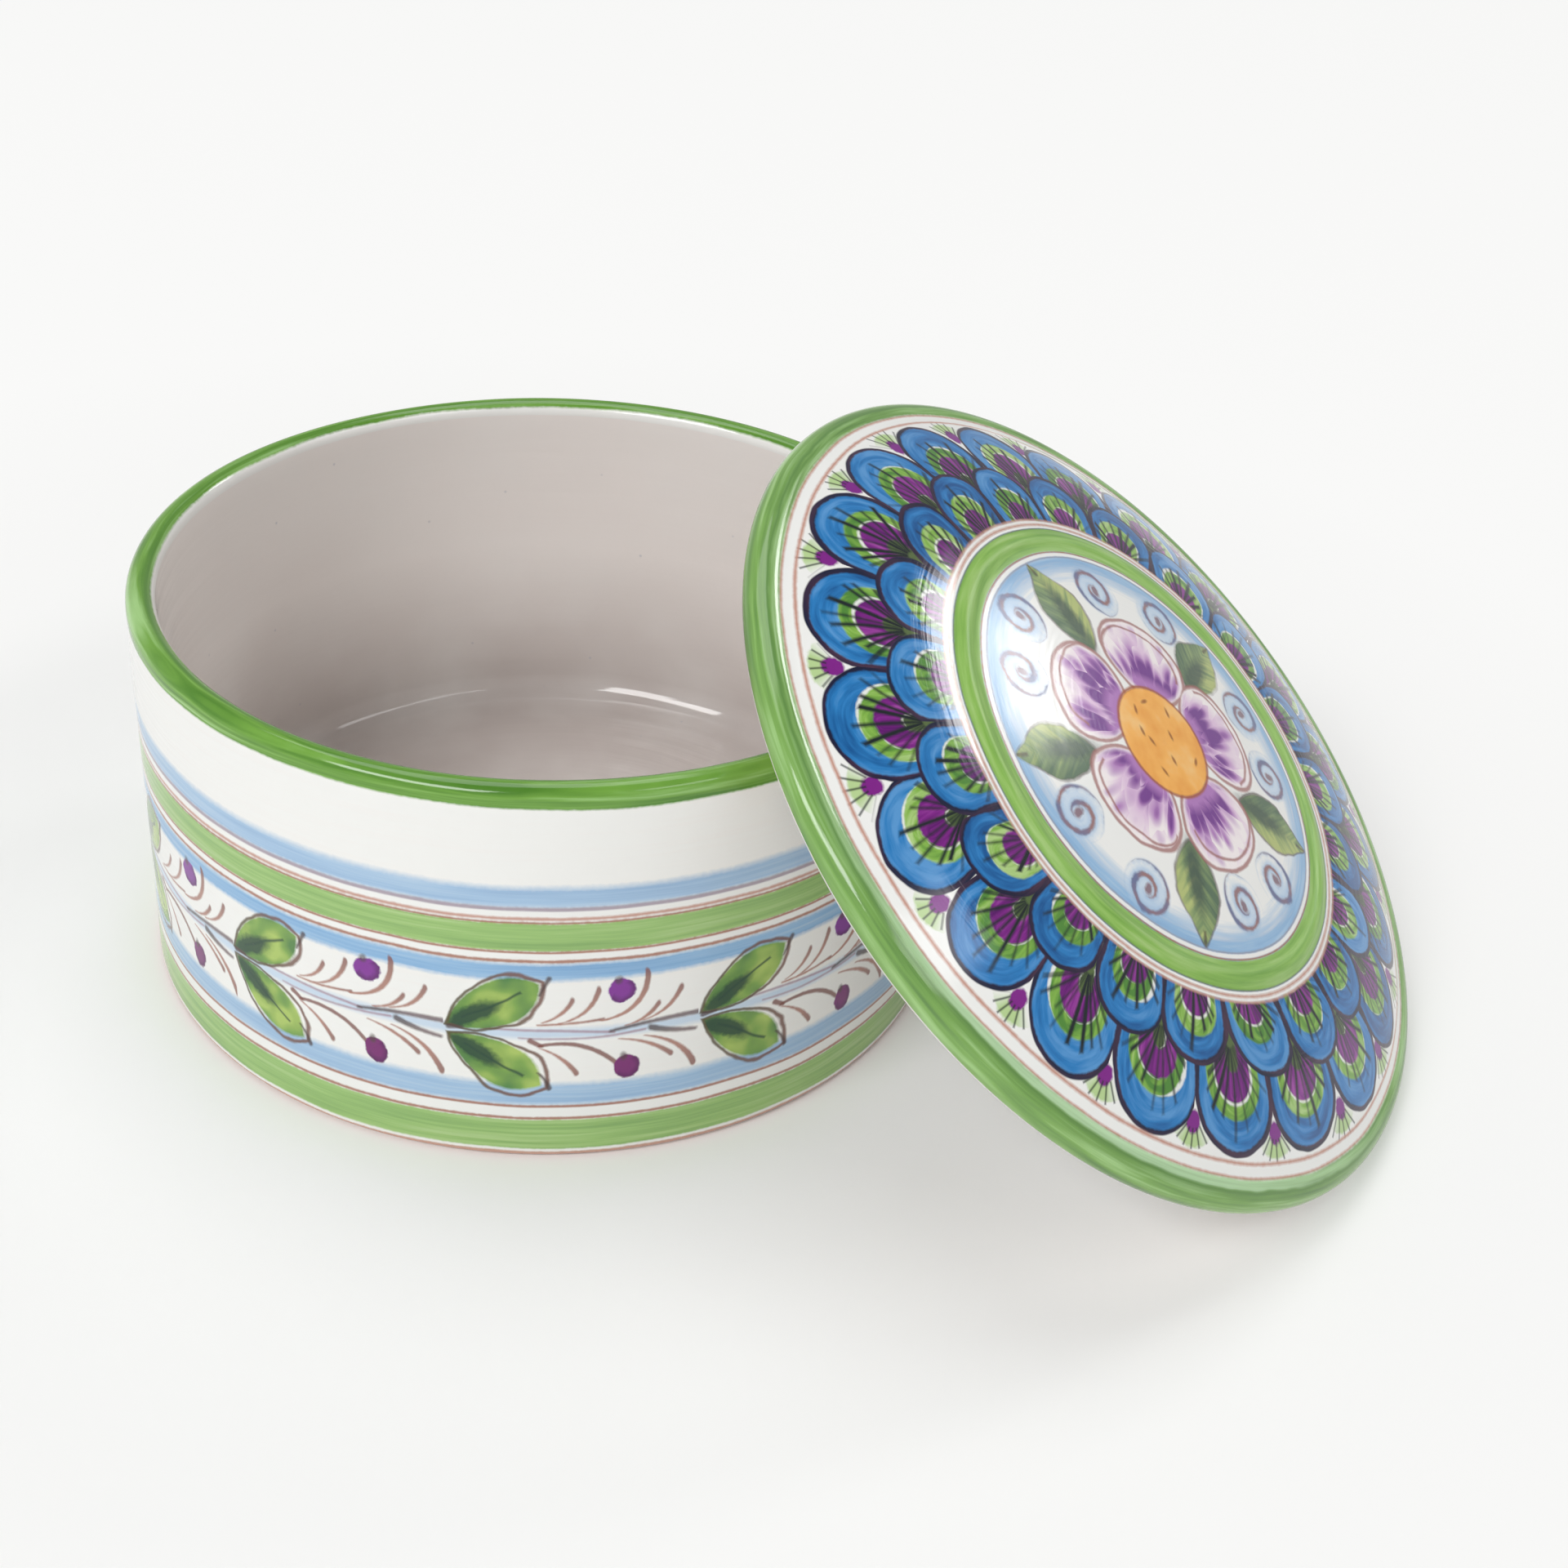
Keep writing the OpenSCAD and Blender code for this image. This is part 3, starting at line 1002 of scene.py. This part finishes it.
@dataclass(frozen=True)
class MedallionPaint:
    """Tin glaze painted with a five-petal flower, leaves and curls inside a green ring.

    The paint is thin and cloudy like watercolour, under a gloss that is softer than the wall's. The spots
    lie on the medallion as seen from its front, with y up the lean, and the stripes at radii.
    """

    pose: Pose
    petals: tuple[Spot, ...] = (
        Spot(-7.1, 17.8, 111.5),
        Spot(15.6, 12.0, 37.5),
        Spot(17.2, -9.4, -28.8),
        Spot(-4.2, -18.6, 257.5),
        Spot(-19.2, -1.3, 184.0),
    )
    leaves: tuple[Spot, ...] = (
        Spot(7.8, 32.4, 73.2),
        Spot(33.2, 1.1, -0.7),
        Spot(13.2, -30.5, -62.2),
        Spot(-24.6, -22.0, 220.3),
        Spot(-28.7, 17.0, 146.7),
    )
    curls: tuple[Spot, ...] = (
        Spot(-5.4, 37.6, 98.0),
        Spot(-18.4, 31.2, 120.5),
        Spot(34.0, 13.6, 21.8),
        Spot(22.6, 28.2, 51.3),
        Spot(25.6, -24.6, -43.9),
        Spot(34.8, -13.2, -20.8),
        Spot(-14.9, -32.0, 245.0),
        Spot(0.3, -36.2, 270.5),
        Spot(-36.2, 6.6, 169.7),
        Spot(-36.0, -12.6, 199.3),
    )
    dots: tuple[Spot, ...] = (
        Spot(0.2, 8.5, 40.0),
        Spot(4.6, 7.8, -20.0),
        Spot(-3.4, 5.0, 60.0),
        Spot(-3.2, 2.2, 80.0),
        Spot(8.3, 2.4, 50.0),
        Spot(3.3, -0.6, 60.0),
        Spot(-7.0, -3.4, 85.0),
        Spot(-1.9, -3.9, 65.0),
        Spot(4.1, -8.1, 20.0),
    )
    bands: tuple[Stripe, ...] = (
        Stripe(Ink.STEM_GREY, 44.2, 44.6, 0.2, 1.0),
        Stripe(Ink.TIN_WHITE, 44.6, 45.5, 0.15, 1.0),
        Stripe(Ink.LINE_BROWN, 45.5, 45.9, 0.2, 1.0),
        Stripe(Ink.BAND_GREEN, 45.9, 51.8, 0.2, 1.0),
        Stripe(Ink.LEAF_LINE, 51.75, 52.0, 0.25, 1.0),
        Stripe(Ink.TIN_WHITE, 52.0, 60.0, 0.15, 1.0),
    )
    curl_step: float = 3.8
    curl_from: float = 1.7
    curl_to: float = 6.2
    leaf_shape: Leaf = Leaf(0.0, 0.0, 0.0, 22.0, 6.0, 0.0)
    petal_r: float = 12.2
    disc_r: float = 12.2
    sky_from: float = 37.6
    sky_to: float = 42.6
    gloss: tuple[float, float] = (0.16, 0.24)
    # The thick green glaze on the ring is satin, so that its highlight spreads over the bead
    satin: float = 0.16

    def curl(self, c: Canvas, place: Place, ground: Paint) -> Field:
        """The mirrored pairs of spiral curls outside the petals.

        Args:
            c: The canvas.
            place: The place on the medallion.
            ground: The colour below.

        Returns:
            The colour with the curls on it.
        """
        edge = place.edge
        u, across, number = c.nearest(place.x, place.y, self.curls)
        chance, second, third = c.luck(number, 21.0)
        hand = 1.0 - c.add("Math", (number, 2.0), operation="MODULO") * 2.0
        v = across * hand
        reach = c.length(u + place.drift * 0.8, v * 1.08)
        angle = c.add("Math", (v, u), operation="ARCTAN2")
        turns = reach / self.curl_step + angle / math.tau + chance * 0.16 + 0.76
        part = abs(turns - c.add("Math", (turns,), operation="ROUND")) * self.curl_step
        part = part + place.drift * 0.5
        # A blue wash lies under a spiral line with a dark dot in its middle
        ends = c.most(reach - self.curl_to, self.curl_from - reach)
        wash = reach - 5.2 + edge * 4.0 + second * 2.0
        ground = c.brush(ground, Ink.STEM_WASH, wash, 1.2, 0.75)
        blue = c.most(part - 0.95 + edge * 2.0, ends)
        ground = c.brush(ground, Ink.SKY_DARK, blue, 0.6, 0.45)
        warm = c.add("MapRange", (c.grain(place.at, 0.2, 1.0) - reach * 0.05, -0.34, -0.08, 0.0, 1.0))
        ink = c.lay(Ink.CURL_LINE, Ink.CURL_BROWN, warm)
        line = c.most(part - 0.58 + edge * 1.6, ends)
        ground = c.brush(ground, ink, line, 0.28, 0.94)
        dot = c.length((u - third * 0.8) * 0.75, (v + 0.2) * 1.15) - 1.05 + edge * 2.4
        return c.brush(ground, Ink.CURL_DOT, dot, 0.35, 0.8)

    def leaf(self, c: Canvas, place: Place, ground: Paint) -> Field:
        """The pointed leaves between the petals.

        Args:
            c: The canvas.
            place: The place on the medallion.
            ground: The colour below.

        Returns:
            The colour with the leaves on it.
        """
        edge = place.edge
        along, across, number = c.nearest(place.x, place.y, self.leaves)
        chance, second, third = c.luck(number, 31.0)
        middle = self.leaf_shape.length / 2
        along = along + middle
        taper = c.most(along - middle, 0.0)
        taper = c.add("Math", (taper * taper, 0.0082, 0.98), operation="MULTIPLY_ADD")
        leaf = self.leaf_shape.distance(c, along, (across + place.drift) * taper)
        # Streaks slant away from the rib, which is a dark core here
        vein = c.add("CombineXYZ", ((along - abs(across)) * 0.55, across * 0.12, number * 7.0))
        body = c.grain(vein, 1.0, 1.0) * 0.9 - c.slant(along, across, -0.012, 0.05, 0.1) + second * 0.2
        paint = c.shades(Ink.MEDAL_LEAF, Ink.MEDAL_LEAF_DARK, Ink.MEDAL_LEAF_LIGHT, body, 0.3)
        ground = c.brush(ground, paint, leaf + edge, 0.3, 0.96)
        core = c.length((along - 8.0 - third * 3.0) * 0.3, across + 0.2 + edge * 3.5 + chance * 1.5) - 2.2
        ground = c.brush(ground, Ink.MEDAL_LEAF_CORE, core, 0.9, 0.85)
        tip = c.most(abs(across + place.drift) - 0.4, abs(along - 20.6) - 1.8)
        side = c.most(abs(leaf + edge * 0.8 - 0.1) - 0.3, chance - 0.1 - place.drift * 0.6)
        line = c.least(side, tip)
        return c.brush(ground, Ink.LEAF_TIP, line, 0.25, 0.7)

    def petal(self, c: Canvas, place: Place, ground: Paint) -> Field:
        """Five petals with folded rims and strokes that fan out from the middle.

        Args:
            c: The canvas.
            place: The place on the medallion.
            ground: The colour below.

        Returns:
            The colour with the petals on it.
        """
        edge, drift, radius = place.edge, place.drift, place.radius
        along, across, number = c.nearest(place.x, place.y, self.petals)
        chance, second, third = c.luck(number, 43.0)
        narrow = c.add("MapRange", (along, -8.0, 4.0, 1.12, 0.98))
        petal = c.length(across * narrow, along * 1.22) - self.petal_r + drift * 0.6
        fold = c.length((across + chance * 4.0) * narrow * 1.02, (along + 0.8 + second) * 1.28)
        fold = fold - (self.petal_r - 1.1) - drift
        ground = c.brush(ground, Ink.PETAL, petal + edge, 0.2)
        # Dabs of the brush fan out from the flower's middle: pink, then mauve, then purple
        ray = across / (along + 19.2)
        own = third * 20.0
        sway = c.grain(c.add("CombineXYZ", (ray * 4.0, radius * 0.1, own)), 1.0, 1.0)
        way = c.add("CombineXYZ", (ray * 6.5 + sway, radius * 0.12 + sway, own))
        dab = c.add("TexVoronoi", {"Vector": way, "Scale": 1.0, "Randomness": 0.85})
        tone = c.add("SeparateColor", (dab.other("Color"),)) - 0.5
        far = radius + abs(ray) * 7.0 - sway * 12.0 + tone * 6.0
        inside = c.cover(petal + 1.2, 0.8)
        ground = c.brush(ground, Ink.PETAL_PINK, far - 25.5, 3.0, inside * 0.75)
        mauve = dab + (far - 21.5) * 0.055 - 0.55
        ground = c.brush(ground, Ink.PETAL_MAUVE, mauve, 0.2, inside * 0.85)
        deep = dab + (far - 19.5) * 0.09 - 0.5
        inside = inside * c.cover(15.0 - radius - tone * 2.0, 1.2)
        ground = c.brush(ground, Ink.PETAL_PURPLE, deep, 0.16, inside * 0.9)
        # A brown line runs round the petal, and another marks the fold of its rim
        folds = c.most(abs(fold) - 0.38, petal, -2.0 - along - second * 6.0)
        line = c.least(abs(petal) - 0.5, folds) + edge * 0.7
        return c.brush(ground, Ink.PETAL_LINE, line, 0.25, 0.82)

    def disc(self, c: Canvas, place: Place, ground: Paint) -> Field:
        """The orange middle with its brown dashes.

        Args:
            c: The canvas.
            place: The place on the medallion.
            ground: The colour below.

        Returns:
            The colour with the middle on it.
        """
        edge, radius = place.edge, place.radius
        paint = c.shades(Ink.DISC, Ink.DISC_DARK, Ink.DISC_LIGHT, c.grain(place.at, 0.16, 2.0), 0.24)
        ground = c.brush(ground, paint, radius - self.disc_r + edge)
        along, across = c.nearest(place.x, place.y, self.dots)[:2]
        dash = c.length(along * 0.75, across * 2.0) - 0.8 + edge
        ground = c.brush(ground, Ink.DISC_DOT, dash, 0.35, 0.8)
        line = abs(radius - (self.disc_r + 0.2) + edge * 0.6) - 0.36
        return c.brush(ground, Ink.DISC_LINE, line, 0.25, 0.9)

    def make(self) -> bpy.types.Material:
        """Build the finish: sky ring, curls, leaves, petals, the orange disc and the green ring.

        Returns:
            The material.
        """
        c = Canvas(bpy.data.materials.new("tin_glaze_brush_painted_flower"))
        place = self.pose.place(c, 0.4, 5.0)
        radius = place.radius
        streak = place.streak(c, 3.0, 0.9, 0.0)
        # The flower is drawn with x along the lean's level line and y up the lean
        place = replace(place, x=place.y, y=place.x * -1.0)
        sky = c.shades(Ink.SKY, Ink.SKY_DARK, Ink.SKY_LIGHT, streak, 0.3)
        fade = c.add("MapRange", (radius + streak * 7.0, self.sky_from, self.sky_to, 0.0, 0.95))
        colour = c.lay(Ink.TIN_WHITE, sky, fade)
        for paint in (self.curl, self.leaf, self.petal, self.disc):
            colour = paint(c, place, colour)
        green = c.shades(Ink.BAND_GREEN, Ink.BAND_GREEN_DARK, Ink.BAND_GREEN_LIGHT, streak)
        colour = c.stripes(colour, self.bands, radius, place.edge * 0.5, {Ink.BAND_GREEN: green})
        rough = c.add("MapRange", (streak, -0.3, 0.3, *self.gloss))
        rough = rough + c.add("MapRange", (radius, 45.4, 46.4, 0.0, self.satin))
        return c.finish(colour, rough, streak, BRUSH_LIFT)


@dataclass
class Outline:
    """The section of a turned piece, as points (radius, height) in millimetres."""

    points: list[tuple[float, float]] = field(default_factory=list)

    def to(self, radius: float, height: float, step: float = 2.0) -> "Outline":
        """Go straight to a point.

        Args:
            radius: Its radius.
            height: Its height.
            step: The longest step on the way.

        Returns:
            The outline itself.
        """
        if self.points:
            start = Vector(self.points[-1])
            way = Vector((radius, height)) - start
            count = max(1, math.ceil(way.length / step))
            self.points += [tuple(start + way * (i / count)) for i in range(1, count + 1)]
        else:
            self.points.append((radius, height))
        return self

    def arc(
        self, centre: tuple[float, float], radius: float, start: float, end: float, steps: int
    ) -> "Outline":
        """Follow an arc.

        Args:
            centre: The arc's centre.
            radius: Its radius.
            start: The angle where it starts, in degrees from outwards.
            end: The angle where it ends.
            steps: How many steps it takes.

        Returns:
            The outline itself.
        """
        for i in range(steps + 1):
            a = math.radians(start + (end - start) * i / steps)
            self.points.append((centre[0] + radius * math.cos(a), centre[1] + radius * math.sin(a)))
        return self

    def turned(self, steps: int, soft: Iterable[tuple[float, float, float]] = ()) -> bmesh.types.BMesh:
        """Spin the section round the axis.

        Args:
            steps: How many steps make the turn.
            soft: Corners to round, each as radius, height and how far the rounding reaches.

        Returns:
            A closed mesh in millimetres.
        """
        bm = bmesh.new()
        verts = [bm.verts.new((r, 0.0, h)) for r, h in self.points]
        for pair in zip(verts, verts[1:]):
            bm.edges.new(pair)
        bmesh.ops.remove_doubles(bm, verts=bm.verts, dist=WELD)
        for r, h, reach in soft:
            near = [v for v in bm.verts if math.hypot(v.co.x - r, v.co.z - h) < reach]
            for _ in range(SOFT_PASSES):
                bmesh.ops.smooth_vert(bm, verts=near, factor=0.5, use_axis_x=True, use_axis_z=True)
        section = bm.verts[:] + bm.edges[:]
        bmesh.ops.spin(
            bm, geom=section, cent=(0, 0, 0), axis=(0, 0, 1), angle=math.tau, steps=steps, use_merge=True
        )
        bmesh.ops.remove_doubles(bm, verts=bm.verts, dist=WELD)
        bmesh.ops.recalc_face_normals(bm, faces=bm.faces)
        return bm


@dataclass
class Ware:
    """A turned piece of clay with its painted zones."""

    name: str
    body: str
    slot: str
    pose: Pose
    # The thrown surface strays in waves about 45 mm long, and not below this height
    waves: float = 0.022
    true_h: float = 4.0

    def make(
        self,
        bm: bmesh.types.BMesh,
        zones: dict[Zone, bpy.types.Material],
        zone_of: ZoneRule,
        stray: float,
    ) -> bpy.types.Object:
        """Turn a spun mesh into the finished piece.

        Args:
            bm: The mesh in the piece's own frame, in millimetres.
            zones: The material of each zone.
            zone_of: A function that gives a face's zone for its radius, height and facing.
            stray: How far the thrown surface strays from true, in millimetres.

        Returns:
            The object, in place at the origin.
        """
        order = list(zones)
        for face in bm.faces:
            middle = face.calc_center_median()
            zone = zone_of(math.hypot(middle.x, middle.y), middle.z, face.normal)
            face.material_index = order.index(zone)
            face.smooth = True
        for vert in bm.verts:
            share = min(max(vert.co.z / self.true_h, 0.0), 1.0)
            push = noise.noise(vert.co * self.waves + Vector((7.0, 3.0, 1.0))) * share
            vert.co += vert.normal * push * stray
        bmesh.ops.scale(bm, vec=(MM,) * 3, verts=bm.verts)
        bmesh.ops.transform(bm, matrix=self.pose.matrix(), verts=bm.verts)
        mesh = bpy.data.meshes.new(self.name)
        bm.to_mesh(mesh)
        bm.free()
        for material in zones.values():
            mesh.materials.append(material)
        piece = bpy.data.objects.new(self.name, mesh)
        bpy.context.collection.objects.link(piece)
        return piece


@dataclass
class PaintedBox(Ware):
    """The round box: wall, full-round lip, coved floor and foot ring."""

    radius: float = 85.0
    height: float = 85.0
    wall: float = 5.6
    floor: float = 6.5
    cove: float = 7.0
    foot: float = 8.0
    recess: float = 1.0
    base_edge: float = 1.6

    def build(self) -> bpy.types.Object:
        """Build and dress the box.

        Returns:
            The object.
        """
        lip = self.wall / 2
        mouth = self.radius - self.wall
        foot = self.radius - self.foot
        shape = Outline().to(0.0, self.recess).to(foot, self.recess, 4.0).to(foot, 0.0, 0.3)
        shape.to(self.radius - self.base_edge, 0.0, 0.5)
        shape.arc((self.radius - self.base_edge, self.base_edge), self.base_edge, -90, 0, 6)
        shape.to(self.radius, self.height - lip, 2.5)
        shape.arc((self.radius - lip, self.height - lip), lip, 0, 180, 20)
        shape.to(mouth, self.floor + self.cove, 2.5)
        shape.arc((mouth - self.cove, self.floor + self.cove), self.cove, 0, -90, 12)
        shape.to(0.0, self.floor, 2.5)
        bm = shape.turned(TURN_STEPS, [(foot, 0.0, 0.9), (foot, self.recess, 0.9)])
        zones = {
            Zone.WALL: WallPaint(self.pose).make(),
            Zone.INSIDE: InsideGlaze(self.pose).make(),
            Zone.BASE: BareClay().make(),
        }

        def zone_of(r: float, h: float, facing: Vector) -> Zone:
            """The zone of a face at a radius and a height."""
            if h < 1.2 and r < self.radius - self.base_edge:
                return Zone.BASE
            inside = r < mouth + 0.1 and self.recess + 0.1 < h < self.height - lip - 1.0
            return Zone.INSIDE if inside else Zone.WALL

        return self.make(bm, zones, zone_of, 0.25)


@dataclass
class PaintedLid(Ware):
    """The lid: rolled rim, shoulder, raised ring, medallion, hollow and locating flange."""

    rim_r: float = 3.8
    crest_r: float = 86.7
    shoulder: tuple[float, float] = (44.836, -74.773)
    shoulder_r: float = 92.0
    wall: float = 6.5
    ring: tuple[float, float] = (48.8, 14.709)
    ring_r: float = 3.391
    medallion_h: float = 21.2
    medallion_r: float = 316.95
    flange_out: float = 78.4
    flange_t: float = 3.9
    flange_h: float = 5.6
    # Radii between which the raised bead and the shoulder show
    bead: tuple[float, float] = (47.2, 51.3)
    slope: tuple[float, float] = (51.5, 84.6)
    # Radius up to which the flower is painted, and from which the seat beside the flange is bare
    flower_to: float = 52.3
    seat_from: float = 78.2

    def build(self) -> bpy.types.Object:
        """Build and dress the lid.

        Returns:
            The object.
        """
        dome = (0.0, self.medallion_h - self.medallion_r)

        def on(centre: tuple[float, float], radius: float, r: float) -> float:
            """Angle in degrees, on a circle's upper half, of the point at a radius from the axis."""
            return math.degrees(math.acos((r - centre[0]) / radius))

        shape = Outline().arc(dome, self.medallion_r, 90, on(dome, self.medallion_r, self.bead[0]), 40)
        bead = [on(self.ring, self.ring_r, r) for r in self.bead]
        shape.arc(self.ring, self.ring_r, *bead, 10)
        slope = [on(self.shoulder, self.shoulder_r, r) for r in self.slope]
        shape.arc(self.shoulder, self.shoulder_r, *slope, 48)
        crest = (self.crest_r, self.rim_r)
        shape.arc(crest, self.rim_r, 112, -90, 28)
        shape.to(self.flange_out, 0.0, 0.7)
        flange_mid = self.flange_out - self.flange_t / 2
        flange_end = self.flange_t / 2 - self.flange_h
        shape.to(self.flange_out, flange_end, 0.6)
        shape.arc((flange_mid, flange_end), self.flange_t / 2, 0, -180, 12)
        roof_r = self.shoulder_r - self.wall
        hollow = self.flange_out - self.flange_t
        roof = on(self.shoulder, roof_r, hollow)
        shape.to(hollow, self.shoulder[1] + roof_r * math.sin(math.radians(roof)), 0.7)
        shape.arc(self.shoulder, roof_r, roof, 90, 30)
        top = self.shoulder[1] + roof_r
        crown = (0.0, top - math.sqrt(self.medallion_r**2 - self.shoulder[0] ** 2))
        shape.arc(crown, self.medallion_r, on(crown, self.medallion_r, self.shoulder[0]), 90, 16)
        soft = [
            (self.bead[0], 17.7, 0.9),
            (51.4, 17.0, 1.2),
            (85.0, 7.8, 1.6),
            (self.flange_out, 0.0, 0.9),
            (hollow, 5.4, 1.6),
        ]
        bm = shape.turned(TURN_STEPS, soft)
        under = InsideGlaze(self.pose, "tin_glaze_plain_under_lid", deep=Ink.INSIDE_WHITE)
        zones = {
            Zone.FEATHERS: FeatherPaint(self.pose).make(),
            Zone.MEDALLION: MedallionPaint(self.pose).make(),
            Zone.UNDERSIDE: under.make(),
            Zone.SEAT: BareClay("buff_clay_unglazed_seat").make(),
        }

        def zone_of(r: float, h: float, facing: Vector) -> Zone:
            """The zone of a face at a radius and a height, by the way it faces."""
            h += self.rim_r
            if facing.z < -0.55 or (r < self.slope[1] and h < 14 and facing.z < 0.2) or h < 0.2:
                return Zone.SEAT if h < 0.4 and r > self.seat_from else Zone.UNDERSIDE
            return Zone.MEDALLION if r < self.flower_to else Zone.FEATHERS

        # The lid's own frame has its zero on the axis, in the middle plane of the rim
        bmesh.ops.translate(bm, vec=(0, 0, -self.rim_r), verts=bm.verts)
        return self.make(bm, zones, zone_of, 0.12)


@dataclass(frozen=True)
class Lamp:
    """A soft lamp: where it hangs as seen from the ware, its size in metres and its face's brightness."""

    name: str
    bearing: float
    rise: float
    distance: float
    width: float
    height: float
    glow: float


@dataclass(frozen=True)
class Studio:
    """A white table under soft lamps, and the camera.

    The eye is in millimetres and the camera's angles are in radians. All other lengths are in metres.
    """

    lens: float = 54.29
    eye: tuple[float, float, float] = (0.0, -432.12, 312.31)
    yaw: float = -0.1164
    pitch: float = 0.57302
    roll: float = 0.06985
    side: float = 8.0
    middle: tuple[float, float, float] = (0.05, 0.0, 0.04)
    walls: float = 0.6
    ceiling: float = 0.06
    lamps: tuple[Lamp, ...] = (
        Lamp("key", -132.0, 42.0, 3.0, 1.8, 0.75, 10.2),
        Lamp("fill", -37.0, 45.0, 3.0, 2.3, 0.5, 3.4),
        Lamp("back", 31.5, 29.5, 3.0, 0.6, 0.4, 11.5),
        Lamp("top", 110.0, 72.0, 3.0, 2.0, 1.8, 2.6),
    )
    # The table glows more from near to far, in metres from the ware
    near: float = 0.12
    far: float = 0.32
    near_glow: float = 0.1
    far_glow: float = 0.8
    drop: float = 0.00005

    def camera(self) -> None:
        """Set the camera up at the photograph's angle."""
        data = bpy.data.cameras.new("camera")
        data.lens = self.lens
        data.sensor_width = 36.0
        data.clip_start = 0.01
        cam = bpy.data.objects.new("camera", data)
        level = Vector((math.cos(self.yaw), math.sin(self.yaw), 0.0))
        flat = Vector((-math.sin(self.yaw), math.cos(self.yaw), 0.0))
        ahead = flat * math.cos(self.pitch) - Vector((0.0, 0.0, math.sin(self.pitch)))
        up = level.cross(ahead)
        right = math.cos(self.roll) * level + math.sin(self.roll) * up
        top = math.cos(self.roll) * up - math.sin(self.roll) * level
        turn = Matrix((right, top, -ahead)).transposed().to_4x4()
        cam.matrix_world = Matrix.Translation(Vector(self.eye) * MM) @ turn
        bpy.context.collection.objects.link(cam)
        bpy.context.scene.camera = cam

    def table(self) -> None:
        """Lay the white table: matt, and bright of itself further out, so that no edge of it shows."""
        bm = bmesh.new()
        bmesh.ops.create_grid(bm, x_segments=2, y_segments=2, size=self.side / 2)
        bmesh.ops.translate(bm, vec=(0, 0, -self.drop), verts=bm.verts)
        mesh = bpy.data.meshes.new("table")
        bm.to_mesh(mesh)
        bm.free()
        table = bpy.data.objects.new("table", mesh)
        bpy.context.collection.objects.link(table)
        c = Canvas(bpy.data.materials.new("matt_white_table"))
        rays = c.add("LightPath", output="Is Camera Ray")
        x = c.add("SeparateXYZ", (c.add("TexCoord", output="Object"),))
        far = c.length(x, x.other("Y"))
        glow = c.add("MapRange", (far, self.near, self.far, self.near_glow, self.far_glow))
        seen = c.most(rays, rays.other("Is Glossy Ray")) * glow
        matt = c.add("BsdfDiffuse", (Ink.TABLE,))
        white = c.add("Emission", (Ink.TABLE, 1.0))
        c.add("OutputMaterial", (c.add("MixShader", (seen, matt, white)),))
        mesh.materials.append(c.owner)

    def lamp(self, lamp: Lamp) -> None:
        """Hang one soft lamp that faces the ware.

        Args:
            lamp: The lamp.
        """
        data = bpy.data.lights.new(lamp.name, "AREA")
        data.shape = "RECTANGLE"
        data.size, data.size_y = lamp.width, lamp.height
        data.energy = lamp.glow * math.pi * lamp.width * lamp.height
        hung = bpy.data.objects.new(lamp.name, data)
        turn, rise = math.radians(lamp.bearing), math.radians(lamp.rise)
        way = Vector((math.cos(turn) * math.cos(rise), math.sin(turn) * math.cos(rise), math.sin(rise)))
        hung.location = Vector(self.middle) + way * lamp.distance
        hung.rotation_euler = (-way).to_track_quat("-Z", "Y").to_euler()
        bpy.context.collection.objects.link(hung)

    def light(self) -> None:
        """Light the table: walls that the camera sees white, a dim ceiling and the soft lamps."""
        c = Canvas(bpy.data.worlds.new("studio"))
        bpy.context.scene.world = c.owner
        height = c.add("SeparateXYZ", (c.add("TexCoord", output="Generated"),), "Z")
        level = c.add("MapRange", (height, 0.0, 1.0, self.walls, self.ceiling))
        bright = c.most(level, c.add("LightPath", output="Is Camera Ray"))
        c.add("OutputWorld", (c.add("Background", (Ink.TABLE, bright)),))
        for lamp in self.lamps:
            self.lamp(lamp)

    def build(self) -> None:
        """Set up the whole studio."""
        bpy.context.scene.view_settings.view_transform = "Standard"
        self.camera()
        self.table()
        self.light()


def lid_pose() -> Pose:
    """Where the lid leans: its rim sets all of its extents, so their middle is the rim's middle."""
    low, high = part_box("lid")
    centre = (Vector(low) + Vector(high)) / 2 / MM
    return Pose(tuple(centre), lean=39.8, direction=-27.5)


def main() -> None:
    """Build the studio and the two pieces, and report each."""
    logging.basicConfig(level=logging.INFO, format="%(name)s: %(message)s")
    Studio().build()
    wares = (
        (PaintedBox("painted_box", "box", "glazed_body", Pose()), "box_body"),
        (PaintedLid("painted_lid", "lid", "glazed_lid", lid_pose()), "lid"),
    )
    for ware, node in wares:
        piece = ware.build()
        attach(piece, ware.body)
        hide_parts(node)
        LOG.info("%s: %d faces", piece.name, len(piece.data.polygons))


if __name__ == "__main__":
    main()
